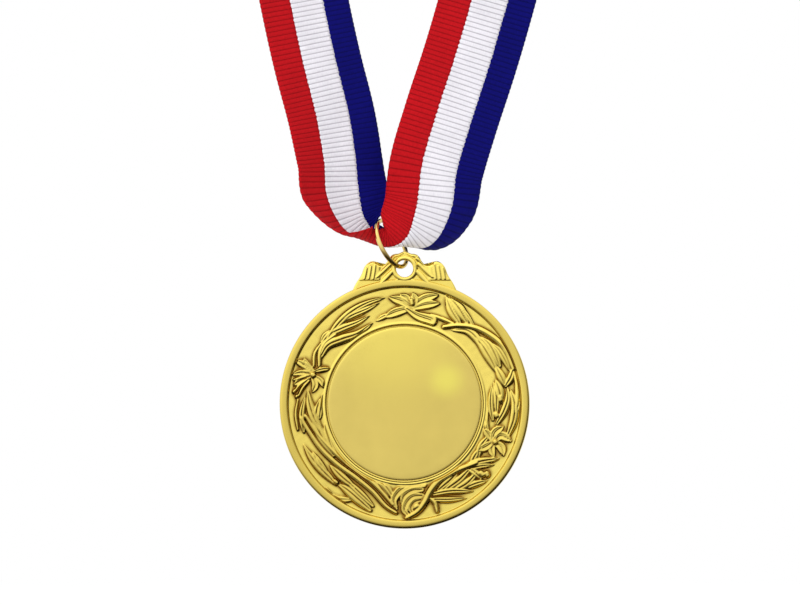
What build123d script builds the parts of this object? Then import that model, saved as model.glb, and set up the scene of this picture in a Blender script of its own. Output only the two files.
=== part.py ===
from build123d import *
import math
import os
import numpy as np

# Award medal on a neck ribbon.  Millimetres, +Z up; the medal hangs upright, its front faces -Y
# and its left is -X.  Origin: centre of the front face of the blank centre insert.
# Pieces are drawn about the middle of the disc's thickness and moved to that origin when saved.

# ---- disc ---------------------------------------------------------------------------------------
disc_d = 65.0
disc_t = 3.4             # over both rims
rim_w = 2.0
rim_chamfer = 0.45       # outer edges of the rim
rim_slope = 0.3          # inner edges of the rim, measured along the radius
front_step = 0.15        # drop of the front rim's inner edge
back_step = 0.08         # the same at the back
front_fillet = 0.35      # sloped foot of the front rim, along the radius
back_fillet = 0.25
front_field_depth = 1.0  # front field below the front rim
back_field_depth = 0.6   # back field below the back rim
pocket_d = 41.0          # recess that takes the centre insert
pocket_depth = 0.35      # below the front field
bead_w = 0.8             # narrow bead round the recess
bead_h = 0.35
bead_slope_out = 0.2
bead_slope_in = 0.15

# ---- centre insert ------------------------------------------------------------------------------
insert_d = 40.0
insert_t = 0.5
insert_chamfer = 0.12
pad_d = 38.0             # adhesive pad under the insert
pad_t = 0.12

# ---- lug ----------------------------------------------------------------------------------------
lug_t = 2.6
lug_inset = 0.5          # how far the lug stays in the rim
hole_d = 4.4
hole_z = 35.1            # height of the lug hole over the disc's centre
hole_cut = 10.0          # length of the hole's cutter
boss_d = 6.3
boss_h = 0.35
ridge_count = 5          # slanting ridges on each side of the hole
ridge_pitch = 1.35
ridge_rise = 0.1
ridge_x = 4.3 + 0.5      # middle of the innermost ridge is found from these two
ridge_z = 31.6 + 1.75
ridge_w = 0.5
ridge_l = 3.4
ridge_shorten = 0.45     # each next ridge is this much shorter
ridge_drop = 0.35        # and its middle lower by this, less the rise
ridge_proud = 0.25       # over each face of the lug
ridge_slant = 32.0       # degrees

# ---- jump ring ----------------------------------------------------------------------------------
ring_mid_r = 6.6         # radius of the wire's centre line
wire_d = 1.2
ring_lean = 27.0         # degrees the ring leans to -X
ring_turn = 25.0         # degrees its front half is turned to -X
ring_gap_deg = 1.2       # butt gap of the closed ring
ring_low = (-0.4, 0.0, 35.75)   # wire centre inside the lug hole
ring_clear = 1.26        # middle of the cloth to the wire's centre line, never less
ring_reach = 6.0         # cloth farther than this from the wire is left alone

# ---- ribbon -------------------------------------------------------------------------------------
ribbon_t = 0.5
red_to = -0.16           # stripe borders as shares of the width, red edge at -0.5
white_to = 0.21          # blue edge at +0.5
fold_z = 85.0            # height where the twisting lower loop starts
collar_z = 215.0         # height where the front strands meet the neck band
twist_gap = 0.6          # gaps between the pieces at these two heights
collar_gap = 2.6
loop_step = 1.7          # spacing of stations along the ribbon
strand_step = 6
neck_step = 5
overlap = 14.0           # lap of the two sewn ribbon ends
lap_start = 1.0          # first station of the lap on the ribbon's left end
lap_ramp = 12.0          # length over which the right half rises onto the left
lap_lift = ribbon_t + 0.06
stitch_d = 0.36
stitch_l = 1.9
stitch_clear = 0.02      # stitches over the cloth
stitch_rows = (3.0, overlap - 2.5)   # distances from the left end
stitch_spread = 0.44     # outermost stitches, as a share of the width
stitches_per_row = 9

# Stripe: share of the width where it starts and ends, columns across it in the lower loop.
STRIPES = {"red": (-0.5, red_to, 6), "white": (red_to, white_to, 6), "blue": (white_to, 0.5, 5)}

# Each row: distance along the ribbon from the bottom of its loop; centre point x, y, z; direction
# across the width from the red to the blue edge; curl of the section in radians; width after
# gathering; depth of the gathers.  The first and the last row are the two ends at the nape.
LINE = np.array([
    (-397.646, 5.39, 109.038, 325.39, 0.011, 0.331, -0.944, 0.003, 25, 0),
    (-383.332, -8.901, 108.244, 325.242, -0.014, 0.315, -0.949, 0.003, 25, 0),
    (-369.028, -22.656, 104.405, 324.414, -0.031, 0.307, -0.951, 0.003, 25, 0),
    (-354.71, -35.108, 97.523, 322.811, -0.043, 0.309, -0.95, 0.003, 25, 0),
    (-340.34, -45.659, 88.069, 320.402, -0.044, 0.32, -0.947, 0.003, 25, 0),
    (-325.915, -53.898, 76.694, 317.116, -0.02, 0.34, -0.94, 0.003, 25, 0),
    (-311.465, -59.813, 64.257, 312.74, 0.052, 0.38, -0.923, 0.003, 25, 0),
    (-297.028, -63.511, 51.536, 307.003, 0.179, 0.444, -0.878, 0.003, 25, 0),
    (-282.649, -64.888, 39.172, 299.791, 0.357, 0.526, -0.772, 0.003, 25, 0),
    (-268.318, -64.167, 27.829, 291.062, 0.548, 0.601, -0.582, 0.003, 25, 0),
    (-253.943, -62.288, 18.264, 280.498, 0.686, 0.634, -0.357, 0.003, 25, 0),
    (-239.442, -59.879, 11.047, 268.153, 0.754, 0.635, -0.17, 0.003, 25, 0),
    (-224.802, -57.242, 6.274, 254.566, 0.777, 0.629, -0.04, 0.003, 25, 0),
    (-210.034, -54.434, 3.408, 240.354, 0.784, 0.619, 0.046, 0.003, 25, 0),
    (-195.175, -51.435, 1.73, 225.898, 0.79, 0.604, 0.103, 0.003, 25, 0),
    (-180.255, -48.335, 0.924, 211.326, 0.799, 0.585, 0.141, 0.003, 25, 0),
    (-165.295, -45.194, 0.652, 196.702, 0.811, 0.562, 0.162, 0.003, 25, 0),
    (-150.309, -42.039, 0.583, 182.052, 0.827, 0.536, 0.173, 0.003, 25, 0),
    (-135.308, -38.892, 0.556, 167.384, 0.843, 0.508, 0.179, 0.003, 25, 0),
    (-120.296, -35.775, 0.583, 152.7, 0.859, 0.479, 0.183, 0.003, 25, 0),
    (-105.28, -32.682, 0.662, 138.006, 0.874, 0.449, 0.186, 0.003, 25, 0),
    (-54.266, -22.6, 1.1, 88, 0.9, 0.42, 0.1, 0.14, 25, 0),
    (-39.772, -19.2, 1.3, 73.8, 0.9, 0.43, 0.08, 0.3, 25, 0),
    (-28.294, -17.5, 1.5, 62.5, 0.88, 0.46, 0.1, 0.55, 25, 0),
    (-20.166, -16.8, 1.2, 54, 0.8, 0.44, 0.4, 0.95, 24.6, 0.03),
    (-12.946, -14.2, 0.6, 46.4, 0.6, 0.62, 0.52, 2, 19.6, 0.1),
    (-5.052, -8.5, 0.5, 41.8, 0.25, 0.93, 0.15, 4.8, 14, 0.2),
    (0, -4.6, 0.3, 40.75, 0, 1, 0, 5.3, 14.2, 0.22),
    (4.612, -0.7, -0.3, 41.2, 0.34, 0.82, -0.38, 4.5, 15.2, 0.2),
    (10.759, 3.7, -0.6, 43.8, 0.64, 0.45, -0.62, 1.95, 21.6, 0.1),
    (18.216, 6.9, -1.1, 50.6, 0.86, 0.22, -0.45, 0.95, 24.8, 0.03),
    (27.199, 8.3, -1.4, 60.6, 0.95, 0.12, -0.28, 0.5, 25, 0),
    (40.471, 12, -1.3, 73.8, 0.96, 0.12, -0.22, 0.3, 25, 0),
    (55.229, 16.6, -0.9, 88, 0.96, 0.15, -0.25, 0.14, 25, 0),
    (101.553, 28.949, -0.395, 132.673, 0.954, 0.146, -0.263, 0.003, 25, 0),
    (116.569, 32.933, -0.329, 147.151, 0.948, 0.181, -0.264, 0.003, 25, 0),
    (131.58, 36.942, -0.213, 161.616, 0.94, 0.215, -0.265, 0.003, 25, 0),
    (146.582, 40.988, -0.036, 176.061, 0.931, 0.248, -0.266, 0.003, 25, 0),
    (161.57, 45.086, 0.172, 190.476, 0.922, 0.279, -0.268, 0.003, 25, 0),
    (176.534, 49.2, 0.455, 204.861, 0.913, 0.309, -0.268, 0.003, 25, 0),
    (191.463, 53.188, 1.089, 219.233, 0.903, 0.334, -0.268, 0.003, 25, 0),
    (206.337, 56.887, 2.425, 233.578, 0.894, 0.356, -0.273, 0.003, 25, 0),
    (221.136, 60.225, 4.746, 247.808, 0.881, 0.372, -0.292, 0.003, 25, 0),
    (235.829, 63.242, 8.523, 261.682, 0.862, 0.383, -0.332, 0.003, 25, 0),
    (250.409, 65.882, 14.511, 274.711, 0.83, 0.393, -0.395, 0.003, 25, 0),
    (264.901, 67.932, 22.908, 286.344, 0.779, 0.409, -0.475, 0.003, 25, 0),
    (279.346, 68.947, 33.481, 296.133, 0.705, 0.431, -0.562, 0.003, 25, 0),
    (293.78, 68.336, 45.514, 304.081, 0.612, 0.454, -0.647, 0.003, 25, 0),
    (308.214, 65.641, 58.225, 310.367, 0.505, 0.466, -0.726, 0.003, 25, 0),
    (322.639, 60.797, 70.911, 315.234, 0.393, 0.463, -0.795, 0.003, 25, 0),
    (337.029, 53.737, 82.891, 318.937, 0.281, 0.447, -0.849, 0.003, 25, 0),
    (351.373, 44.317, 93.343, 321.721, 0.181, 0.42, -0.89, 0.003, 25, 0),
    (365.685, 32.743, 101.526, 323.702, 0.102, 0.386, -0.917, 0.003, 25, 0),
    (379.983, 19.52, 106.831, 324.906, 0.047, 0.355, -0.934, 0.003, 25, 0),
    (394.293, 5.39, 109.038, 325.39, 0.011, 0.331, -0.944, 0.003, 25, 0),
], float)
left_end, right_end = LINE[0, 0], LINE[-1, 0]

# Above the ring the red lip of the right strand comes over the blue lip of the left one.
# Each row: distance along the ribbon, shift of the lip; then the way each lip moves (x, y, z).
RED_LIP = np.array([
    (-60, 0), (-1.5, 0), (0, 0), (1.5, 0.7), (3, 2.1), (4.5, 3.3), (6, 4.0), (7.5, 3.9),
    (9, 3.1), (10.5, 2.1), (12, 1.2), (14, 0.6), (17, 0.2), (20, 0), (23, 0), (60, 0)], float)
BLUE_LIP = np.array([
    (-60, 0), (-33, 0), (-30, 0), (-24, 0.4), (-21, 0.7), (-18, 1.1), (-15, 1.6), (-13.5, 1.9),
    (-12, 2.2), (-10.5, 2.2), (-9, 1.5), (-7.6, 0.4), (-6.6, 0), (-5, 0), (60, 0)], float)
RED_WAY = np.array([-1, -0.35, 0])
BLUE_WAY = np.array([1, 0.2, 0.12])
lip_from, lip_ramp = 0.12, 0.38   # shares of the width: where a lip starts, how far it builds up

# ---- floral relief on the front field -----------------------------------------------------------
relief_scale = 0.8       # share of the heights below that is built
relief_sink = 0.2        # start of the relief under the field

# Stems and leaves.  Each row: greatest width, height, centre line on the disc (x, height).
LEAVES = [
    (3.2, 0.75, [(-19.44, 18.15), (-15.9, 22.31), (-12.68, 24.52), (-9.69, 26.21), (-5.53, 27.51)]),
    (2.4, 0.6, [(-21.25, 12.69), (-20.48, 16.33), (-17.09, 17.63), (-12.42, 18.15), (-9.04, 21.01)]),
    (1.2, 0.5, [(-23.86, 8.27), (-23.34, 12.43), (-21.78, 15.03)]),
    (1.0, 0.45, [(7.87, 22.57), (12.54, 21.01)]),
    (4.0, 0.7, [(11.77, 27.77), (14.37, 24.13), (16.71, 20.49)]),
    (2.4, 0.65, [(10.34, 20.1), (13.85, 20.49), (18.39, 19.71), (22.95, 18.15), (26.32, 14.77),
                 (27.37, 12.04)]),
    (2.6, 0.6, [(18.0, 16.85), (21.12, 13.21), (23.46, 8.79)]),
    (1.4, 0.5, [(29.19, 8.79), (29.71, 5.41), (29.19, 2.29)]),
    (1.8, 0.5, [(24.77, 8.79), (26.32, 5.15)]),
    (1.6, 0.5, [(28.67, 8.53), (26.32, 5.15)]),
    (1.4, 0.5, [(21.91, 2.29), (21.91, -3.17)]),
    (2.6, 0.65, [(26.32, -0.57), (26.85, -4.21), (26.07, -7.33)]),
    (2.2, 0.6, [(23.73, -14.61), (19.05, -15.39), (14.11, -16.04)]),
    (3.0, 0.7, [(18.27, -15.65), (13.33, -21.37)]),
    (2.4, 0.6, [(19.57, -19.55), (14.37, -17.21)]),
    (1.3, 0.5, [(16.71, -22.15), (7.61, -22.41)]),
    (1.3, 0.5, [(14.37, -23.45), (6.83, -23.71)]),
    (1.5, 0.55, [(15.41, -14.09), (11.25, -16.43), (7.61, -20.33), (5.79, -23.19),
                 (4.23, -25.27)]),
    (1.2, 0.45, [(-26.46, 1.77), (-26.46, -3.43)]),
    (1.5, 0.5, [(-24.77, 2.29), (-24.12, -2.65), (-22.16, -5.9)]),
    (1.2, 0.45, [(-21.25, 2.29), (-23.07, -3.95)]),
    (2.4, 0.7, [(-26.46, -4.21), (-23.07, -9.67), (-18.66, -14.74), (-13.33, -17.99),
                (-9.04, -21.11), (-5.79, -24.75), (-3.06, -27.61)]),
    (1.8, 0.55, [(-26.2, -12.79), (-21.25, -18.51), (-18.14, -20.07)]),
    (1.6, 0.5, [(-19.7, -16.17), (-16.57, -19.29), (-14.5, -21.11)]),
    (2.0, 0.6, [(-16.57, -21.11), (-9.29, -27.35)]),
    (1.6, 0.5, [(-20.48, -22.93), (-14.5, -25.01)]),
]
# Three flowers.  Each: petal width, flower centre, then the middle and tip of every petal.
petal_h = 0.8
FLOWERS = [
    (3.4, (2.41, 24.91), [
        [(-0.62, 26.26), (-3.65, 27.61)], [(-2.22, 23.35), (-6.85, 21.79)],
        [(2.27, 26.53), (2.15, 28.16)], [(5.47, 26.4), (8.54, 27.9)],
        [(5.92, 25.17), (9.43, 25.43)], [(4.68, 23.35), (6.96, 21.79)]]),
    (3.0, (-25.44, 7.75), [
        [(-22.33, 8.36), (-19.23, 8.97)], [(-26.38, 9.57), (-27.31, 11.39)],
        [(-27.38, 8.27), (-29.32, 8.79)], [(-26.78, 5.93), (-28.12, 4.11)],
        [(-24.39, 5.54), (-23.34, 3.33)]]),
    (3.0, (23.05, -9.78), [
        [(25.08, -9.72), (27.11, -9.67)], [(24.3, -11.28), (25.55, -12.79)],
        [(21.44, -10.89), (19.82, -12.01)], [(23.26, -7.9), (23.46, -6.03)],
        [(24.69, -8.16), (26.32, -6.55)]]),
]
# Three arcs that close an oval at the bottom, in the columns of LEAVES.
OVAL = [
    (2.0, 0.65, [(4.49, -25.79), (4.06, -25.05), (2.95, -24.58), (1.54, -24.55), (0.35, -24.96)]),
    (2.0, 0.65, [(0.72, -24.86), (0.01, -25.48), (0.07, -26.21), (0.88, -26.79), (2.15, -27.01)]),
    (2.0, 0.65, [(1.78, -26.92), (2.86, -26.87), (3.74, -26.53), (4.19, -25.99), (4.1, -25.4)]),
]
PETALS = [(width, petal_h, [centre] + petal) for width, centre, petals in FLOWERS
          for petal in petals]

# Left half of the lug's outline (x, height over the disc's centre), from the rim to the top.
LUG_HALF = [
    (-13.7, 26.5), (-13.6, 28.9), (-12.6, 31.4), (-11.2, 33.6), (-10.3, 35.5), (-9.2, 36.7),
    (-8.0, 36.9), (-6.9, 36.1), (-5.6, 36.0), (-4.4, 36.9), (-3.7, 38.2), (-2.9, 38.85),
    (-1.6, 39.15), (-0.8, 39.5)]

# ---- levels and radii of the disc, drawn flat with its front up ---------------------------------
front, back = disc_t / 2, -disc_t / 2
front_field = front - front_field_depth
back_field = back + back_field_depth
pocket_floor = front_field - pocket_depth
disc_r = disc_d / 2
field_r = disc_r - rim_w
pocket_r = pocket_d / 2
UPRIGHT = Rot(90, 0, 0)


def save(name, *shapes):
    shape = shapes[0] if len(shapes) == 1 else Compound(children=list(shapes))
    shape = Pos(0, pocket_floor + pad_t + insert_t, 0) * shape
    shape.label = name
    export_step(shape, f"parts/{name}.step")


# ---- medal body, cast in one piece --------------------------------------------------------------
def make_disc():
    bead_top = front_field + bead_h
    profile = Polyline(
        (0, back_field), (field_r - back_fillet, back_field), (field_r, back + back_step),
        (field_r + rim_slope, back), (disc_r - rim_chamfer, back), (disc_r, back + rim_chamfer),
        (disc_r, front - rim_chamfer), (disc_r - rim_chamfer, front),
        (field_r + rim_slope, front), (field_r, front - front_step),
        (field_r - front_fillet, front_field), (pocket_r + bead_w, front_field),
        (pocket_r + bead_w - bead_slope_out, bead_top), (pocket_r + bead_slope_in, bead_top),
        (pocket_r, front_field), (pocket_r, pocket_floor), (0, pocket_floor), close=True)
    return revolve(Plane.XZ * make_face(profile), Axis.Z)


def make_lug():
    outline = LUG_HALF + [(-x, y) for x, y in reversed(LUG_HALF)]
    lug = extrude(make_face(Polyline(*outline, close=True)), lug_t / 2, both=True)
    return lug - Cylinder(field_r + lug_inset, lug_t * 2)


def lug_ridges():
    ridges = []
    for side in (-1, 1):
        for k in range(ridge_count):
            place = Pos(side * (ridge_x + ridge_pitch * k),
                        ridge_z + (ridge_rise - ridge_drop) * k, 0)
            block = Box(ridge_w, ridge_l - ridge_shorten * k, lug_t + 2 * ridge_proud)
            ridges.append(place * Rot(0, 0, side * -ridge_slant) * block)
    return ridges


def leaf_face(centre_line, width, stations=9):
    """Flat leaf round a centre line: widest near the middle, narrow at both ends."""
    points = np.array(centre_line, float)
    lengths = np.r_[0, np.cumsum(np.linalg.norm(np.diff(points, axis=0), axis=1))]
    at = np.linspace(0, lengths[-1], stations)
    middle = np.stack([np.interp(at, lengths, points[:, k]) for k in (0, 1)], 1)
    along = np.gradient(middle, axis=0)
    along /= np.linalg.norm(along, axis=1)[:, None]
    across = np.stack([-along[:, 1], along[:, 0]], 1)
    swell = np.sin(np.pi * (0.12 + 0.80 * at / lengths[-1])) ** 0.8
    offset = across * (0.5 * width * (0.18 + 0.82 * swell))[:, None]
    outline = [tuple(p) for p in middle + offset] + [tuple(p) for p in (middle - offset)[::-1]]
    return make_face(Polyline(*outline, close=True))


def medal_body():
    body = make_disc() + make_lug() + Pos(0, hole_z, 0) * Cylinder(boss_d / 2, lug_t + 2 * boss_h)
    for ridge in lug_ridges():
        body += ridge
    # the relief is trimmed to the field between the bead and the rim
    annulus = Pos(0, 0, front_field + 0.4) * (
        Cylinder(field_r - 0.5, 1.2) - Cylinder(pocket_r + bead_w + 0.15, 1.2))
    for width, height, centre_line in LEAVES + PETALS + OVAL:
        face = Pos(0, 0, front_field - relief_sink) * leaf_face(centre_line, width)
        body += extrude(face, relief_sink + height * relief_scale) & annulus
    body -= Pos(0, hole_z, 0) * Cylinder(hole_d / 2, hole_cut)
    # only the largest solid is kept
    return max((UPRIGHT * body).solids(), key=lambda solid: solid.volume)


# ---- centre insert and its pad ------------------------------------------------------------------
def adhesive_pad():
    pad = Pos(0, 0, pocket_floor + pad_t / 2) * Cylinder(pad_d / 2, pad_t)
    return (UPRIGHT * pad).solid()


def centre_insert():
    plate = Pos(0, 0, pocket_floor + pad_t + insert_t / 2) * Cylinder(insert_d / 2, insert_t)
    plate = chamfer(plate.faces().sort_by(Axis.Z)[-1].edges(), insert_chamfer)
    return (UPRIGHT * plate).solid()


# ---- jump ring ----------------------------------------------------------------------------------
lean, turn = math.radians(ring_lean), math.radians(ring_turn)
RING_UP = np.array([-math.sin(lean), 0, math.cos(lean)])
RING_SIDE = (math.cos(turn) * np.array([0, 1.0, 0])
             + math.sin(turn) * np.array([math.cos(lean), 0, math.sin(lean)]))
RING_AXIS = np.cross(RING_SIDE, RING_UP)
RING_CENTRE = np.array(ring_low) + ring_mid_r * RING_UP


def jump_ring():
    half_gap = math.radians(ring_gap_deg / 2)
    up, side, centre = Vector(*RING_UP), Vector(*RING_SIDE), Vector(*RING_CENTRE)
    outward = side * math.cos(half_gap) + up * math.sin(half_gap)
    tangent = side * -math.sin(half_gap) + up * math.cos(half_gap)
    start = Plane(origin=centre + outward * ring_mid_r, x_dir=outward, z_dir=tangent)
    axis = Axis(centre, Vector(*RING_AXIS))
    return revolve(start * Circle(wire_d / 2), axis, 360 - ring_gap_deg).solid()


# ---- the ribbon's surface -----------------------------------------------------------------------
def unit(vectors):
    return vectors / np.linalg.norm(vectors, axis=-1)[..., None]


def smoothstep(x):
    x = np.clip(x, 0, 1)
    return x**2 * (3 - 2 * x)


def hermite(at, table):
    """Smooth curve through a table: first column the distance, the others the values."""
    x, y = table[:, 0], table[:, 1:]
    span = np.diff(x)
    rise = np.diff(y, axis=0) / span[:, None]
    slope = np.zeros_like(y)
    slope[0], slope[-1] = rise[0], rise[-1]
    slope[1:-1] = ((rise[:-1] * span[1:, None] + rise[1:] * span[:-1, None])
                   / (span[:-1] + span[1:])[:, None])
    i = np.clip(np.searchsorted(x, at, side="right") - 1, 0, len(x) - 2)
    h = span[i][:, None]
    u = ((at - x[i]) / span[i])[:, None]
    return ((2 * u**3 - 3 * u**2 + 1) * y[i] + (u**3 - 2 * u**2 + u) * h * slope[i]
            + (-2 * u**3 + 3 * u**2) * y[i + 1] + (u**3 - u**2) * h * slope[i + 1])


def round_the_wire(points):
    """The cloth gives way to the ring: points near the wire move straight away from it."""
    arm = points - RING_CENTRE
    height = (arm * RING_AXIS).sum(-1)
    radial = arm - height[..., None] * RING_AXIS
    radius = np.linalg.norm(radial, axis=-1) + 1e-9
    outside = radius - ring_mid_r
    gap = np.hypot(outside, height) + 1e-9
    push = np.where(gap > ring_reach, 0, (gap**4 + ring_clear**4) ** 0.25 / gap - 1)
    return (points + (outside * push / radius)[..., None] * radial
            + (height * push)[..., None] * RING_AXIS)


def lip_shift(s, v):
    s = np.clip(s, RED_LIP[0, 0], RED_LIP[-1, 0])
    red = hermite(s, RED_LIP) * smoothstep((-v - lip_from) / lip_ramp)
    blue = hermite(s, BLUE_LIP) * smoothstep((v - lip_from) / lip_ramp)
    return red[..., None] * RED_WAY + blue[..., None] * BLUE_WAY


def ribbon(s, v):
    """Middle surface of the ribbon: s along it, v from -0.5 (red edge) to 0.5 (blue edge)."""
    row = hermite(s, LINE)
    along = unit(hermite(s + 0.5, LINE)[:, :3] - hermite(s - 0.5, LINE)[:, :3])
    across = row[:, 3:6]
    across = unit(across - (across * along).sum(1)[:, None] * along)
    normal = np.cross(along, across)
    curl, width, pleat = row[:, 6], row[:, 7], np.clip(row[:, 8], 0, None)
    curl_r = (width / curl)[:, None]
    v = v[None, :]
    # the red stripe lies flatter than the others inside the ring
    flatten = 0.5 * np.exp(-((s / 9.0) ** 2))[:, None]
    angle = (v + flatten * (0.25 - v**2)) * curl[:, None]
    # four gathers across the width
    r = curl_r - pleat[:, None] * (0.5 + 0.5 * np.cos(8 * np.pi * v))
    sideways = (r * np.sin(angle))[..., None] * across[:, None]
    outward = (curl_r - r * np.cos(angle))[..., None] * normal[:, None]
    return round_the_wire(row[:, None, :3] + sideways + outward + lip_shift(s, v))


def normals(s, v, ds=0.05, dv=0.002):
    return unit(np.cross(ribbon(s + ds, v) - ribbon(s - ds, v),
                         ribbon(s, v + dv) - ribbon(s, v - dv)))


def sheet(middle, normal):
    """Closed solid of the ribbon's thickness round a grid of points."""
    a, b = middle + normal * ribbon_t / 2, middle - normal * ribbon_t / 2
    rows, cols = middle.shape[:2]
    faces = []

    def quad(p, q, r, s):
        for corners in ((p, q, r), (p, r, s)):
            faces.append(Face(Wire.make_polygon([Vector(*c) for c in corners], close=True)))

    for i in range(rows - 1):
        for j in range(cols - 1):
            quad(a[i, j], a[i + 1, j], a[i + 1, j + 1], a[i, j + 1])
            quad(b[i, j], b[i, j + 1], b[i + 1, j + 1], b[i + 1, j])
    for i in range(rows - 1):
        quad(a[i, 0], b[i, 0], b[i + 1, 0], a[i + 1, 0])
        quad(a[i, -1], a[i + 1, -1], b[i + 1, -1], b[i, -1])
    for j in range(cols - 1):
        quad(a[0, j], a[0, j + 1], b[0, j + 1], b[0, j])
        quad(a[-1, j], b[-1, j], b[-1, j + 1], a[-1, j + 1])
    solid = Solid(Shell(faces))
    if solid.volume < 0:
        solid = Solid(solid.wrapped.Reversed())
    return solid


# ---- ribbon pieces ------------------------------------------------------------------------------
def distance_at(z, end):
    """Distance along the ribbon where its centre line passes height z on the way to an end."""
    s = np.linspace(0, end, 4000)
    return float(s[int(np.argmax(hermite(s, LINE[:, :4])[:, 2] >= z))])


fold_left, fold_right = distance_at(fold_z, left_end), distance_at(fold_z, right_end)
collar_left, collar_right = distance_at(collar_z, left_end), distance_at(collar_z, right_end)


def strip(s, stripe, columns=2):
    v_from, v_to, _ = STRIPES[stripe]
    v = np.linspace(v_from, v_to, columns + 1)
    return sheet(ribbon(s, v), normals(s, v))


def even_strip(start, end, step, stripe):
    return strip(np.linspace(start, end, round((end - start) / step) + 1), stripe)


def lower_loop(stripe):
    """Loop through the ring, with closer stations round the wire."""
    start, end = fold_left + twist_gap / 2, fold_right - twist_gap / 2
    s = np.concatenate([np.linspace(start, -14, int(-(14 + start) / loop_step) + 1),
                        np.linspace(-13.2, 11.2, 31),
                        np.linspace(12, end, int((end - 12) / loop_step) + 1)])
    return strip(s, stripe, STRIPES[stripe][2])


def front_strands(stripe):
    inset, collar_inset = twist_gap / 2, collar_gap / 2
    return [even_strip(collar_left + collar_inset, fold_left - inset, strand_step, stripe),
            even_strip(fold_right + inset, collar_right - collar_inset, strand_step, stripe)]


def neck_band(stripe):
    """The left half starts at the nape; the right half ends there, lapped over it."""
    inset = collar_gap / 2
    left = even_strip(left_end, collar_left - inset, neck_step, stripe)
    v = np.linspace(*STRIPES[stripe][:2], 3)
    steps = int((right_end - collar_right - inset) / neck_step)
    s_own = np.linspace(collar_right + inset, right_end, steps + 1)
    s_lap = np.linspace(left_end + lap_start, left_end + overlap, 5)
    n_own, n_lap = normals(s_own, v), normals(s_lap, v)
    lift = (smoothstep((s_own - (right_end - lap_ramp)) / lap_ramp) * lap_lift)[:, None, None]
    middle = np.concatenate([ribbon(s_own, v) - n_own * lift, ribbon(s_lap, v) - n_lap * lap_lift])
    return [left, sheet(middle, np.concatenate([n_own, n_lap]))]


def seam_stitches():
    """Two rows of short rods on the outer face of the lap."""
    stitches = []
    height = lap_lift + ribbon_t / 2 + stitch_d / 2 + stitch_clear
    for row in stitch_rows:
        for share in np.linspace(-stitch_spread, stitch_spread, stitches_per_row):
            s, v = np.array([left_end + row]), np.array([share])
            across = unit(ribbon(s, v + 0.01)[0, 0] - ribbon(s, v - 0.01)[0, 0])
            centre = ribbon(s, v)[0, 0] - normals(s, v)[0, 0] * height
            start = Plane(origin=tuple(centre - across * stitch_l / 2), z_dir=tuple(across))
            stitches.append(extrude(start * Circle(stitch_d / 2), stitch_l).solid())
    return stitches


os.makedirs("parts", exist_ok=True)
save("medal_body", medal_body())
save("insert_adhesive", adhesive_pad())
save("centre_insert", centre_insert())
save("jump_ring", jump_ring())
for stripe in STRIPES:
    save(f"ribbon_loop_{stripe}", lower_loop(stripe))
    save(f"front_strands_{stripe}", *front_strands(stripe))
    save(f"neck_band_{stripe}", *neck_band(stripe))
save("seam_stitches", *seam_stitches())
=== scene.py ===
"""A round gold medal on a red, white and blue neck ribbon.

The medal faces -Y, its centre on x = z = 0 and its mid-plane at y = MID_Y. A lug on its top edge
carries a tilted jump ring; the ribbon runs through the ring, its two strands part upwards to the
left (-X) and right (+X), and they meet again at the nape, behind (+Y) and above (+Z).
Shapes are worked out in millimetres and turned into metres in make_mesh. A "height" on the medal
is measured towards the front (-Y) from its mid-plane.
"""
import math
import bpy
import numpy as np
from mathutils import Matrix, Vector


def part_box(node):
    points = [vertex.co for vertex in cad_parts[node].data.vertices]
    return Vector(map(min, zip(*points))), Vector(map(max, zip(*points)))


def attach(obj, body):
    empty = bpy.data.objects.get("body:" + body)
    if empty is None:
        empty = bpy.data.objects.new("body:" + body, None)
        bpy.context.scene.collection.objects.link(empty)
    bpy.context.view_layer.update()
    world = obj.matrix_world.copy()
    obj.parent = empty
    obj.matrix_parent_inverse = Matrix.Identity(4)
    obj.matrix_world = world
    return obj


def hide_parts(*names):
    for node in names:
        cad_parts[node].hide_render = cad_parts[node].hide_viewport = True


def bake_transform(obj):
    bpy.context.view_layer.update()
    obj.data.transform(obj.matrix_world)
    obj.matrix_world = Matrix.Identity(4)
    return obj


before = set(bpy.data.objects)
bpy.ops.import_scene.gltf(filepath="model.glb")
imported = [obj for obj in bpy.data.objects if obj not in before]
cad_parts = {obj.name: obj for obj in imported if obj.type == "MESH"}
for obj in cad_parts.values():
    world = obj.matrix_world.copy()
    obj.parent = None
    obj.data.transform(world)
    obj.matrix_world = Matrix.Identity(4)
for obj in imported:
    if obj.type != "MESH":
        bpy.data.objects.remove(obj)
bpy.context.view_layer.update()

MM = 0.001

# metres
FACE_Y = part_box("centre_insert")[0].y         # front face of the insert
MID_DEPTH = 0.00097                           # the medal's mid-plane lies this far behind it
MID_Y = MID_DEPTH + FACE_Y

# medal: heights from the mid-plane, mm
TOP = 1.7                                     # front of the rim
BOTTOM = -TOP                                 # back of the rim
FIELD = 0.7                                   # ground of the relief
BACK = -1.1                                   # sunken back field
POCKET = 0.35                                 # floor of the central pocket
INSERT_GAP = 0.12                             # between pocket floor and insert
INSERT_T = 0.5
HOLE_Z, HOLE_R = 35.1, 2.2                    # hole in the lug

# jump ring, mm; its frame is UP across the ring, SIDE sideways across it, AXIS through it
RING_R, WIRE_R = 6.6, 0.6
LEAN, TURN = math.radians(27), math.radians(25)
UP = np.array([-math.sin(LEAN), 0, math.cos(LEAN)])
SIDE = (math.cos(TURN) * np.array([0, 1.0, 0])
        + math.sin(TURN) * np.array([math.cos(LEAN), 0, math.sin(LEAN)]))
AXIS = np.cross(SIDE, UP)
RING_FOOT = np.array([-0.4, 0.0, 35.75])      # lowest point of the wire's centre line
RING_CENTRE = RING_FOOT + UP * RING_R

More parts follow.
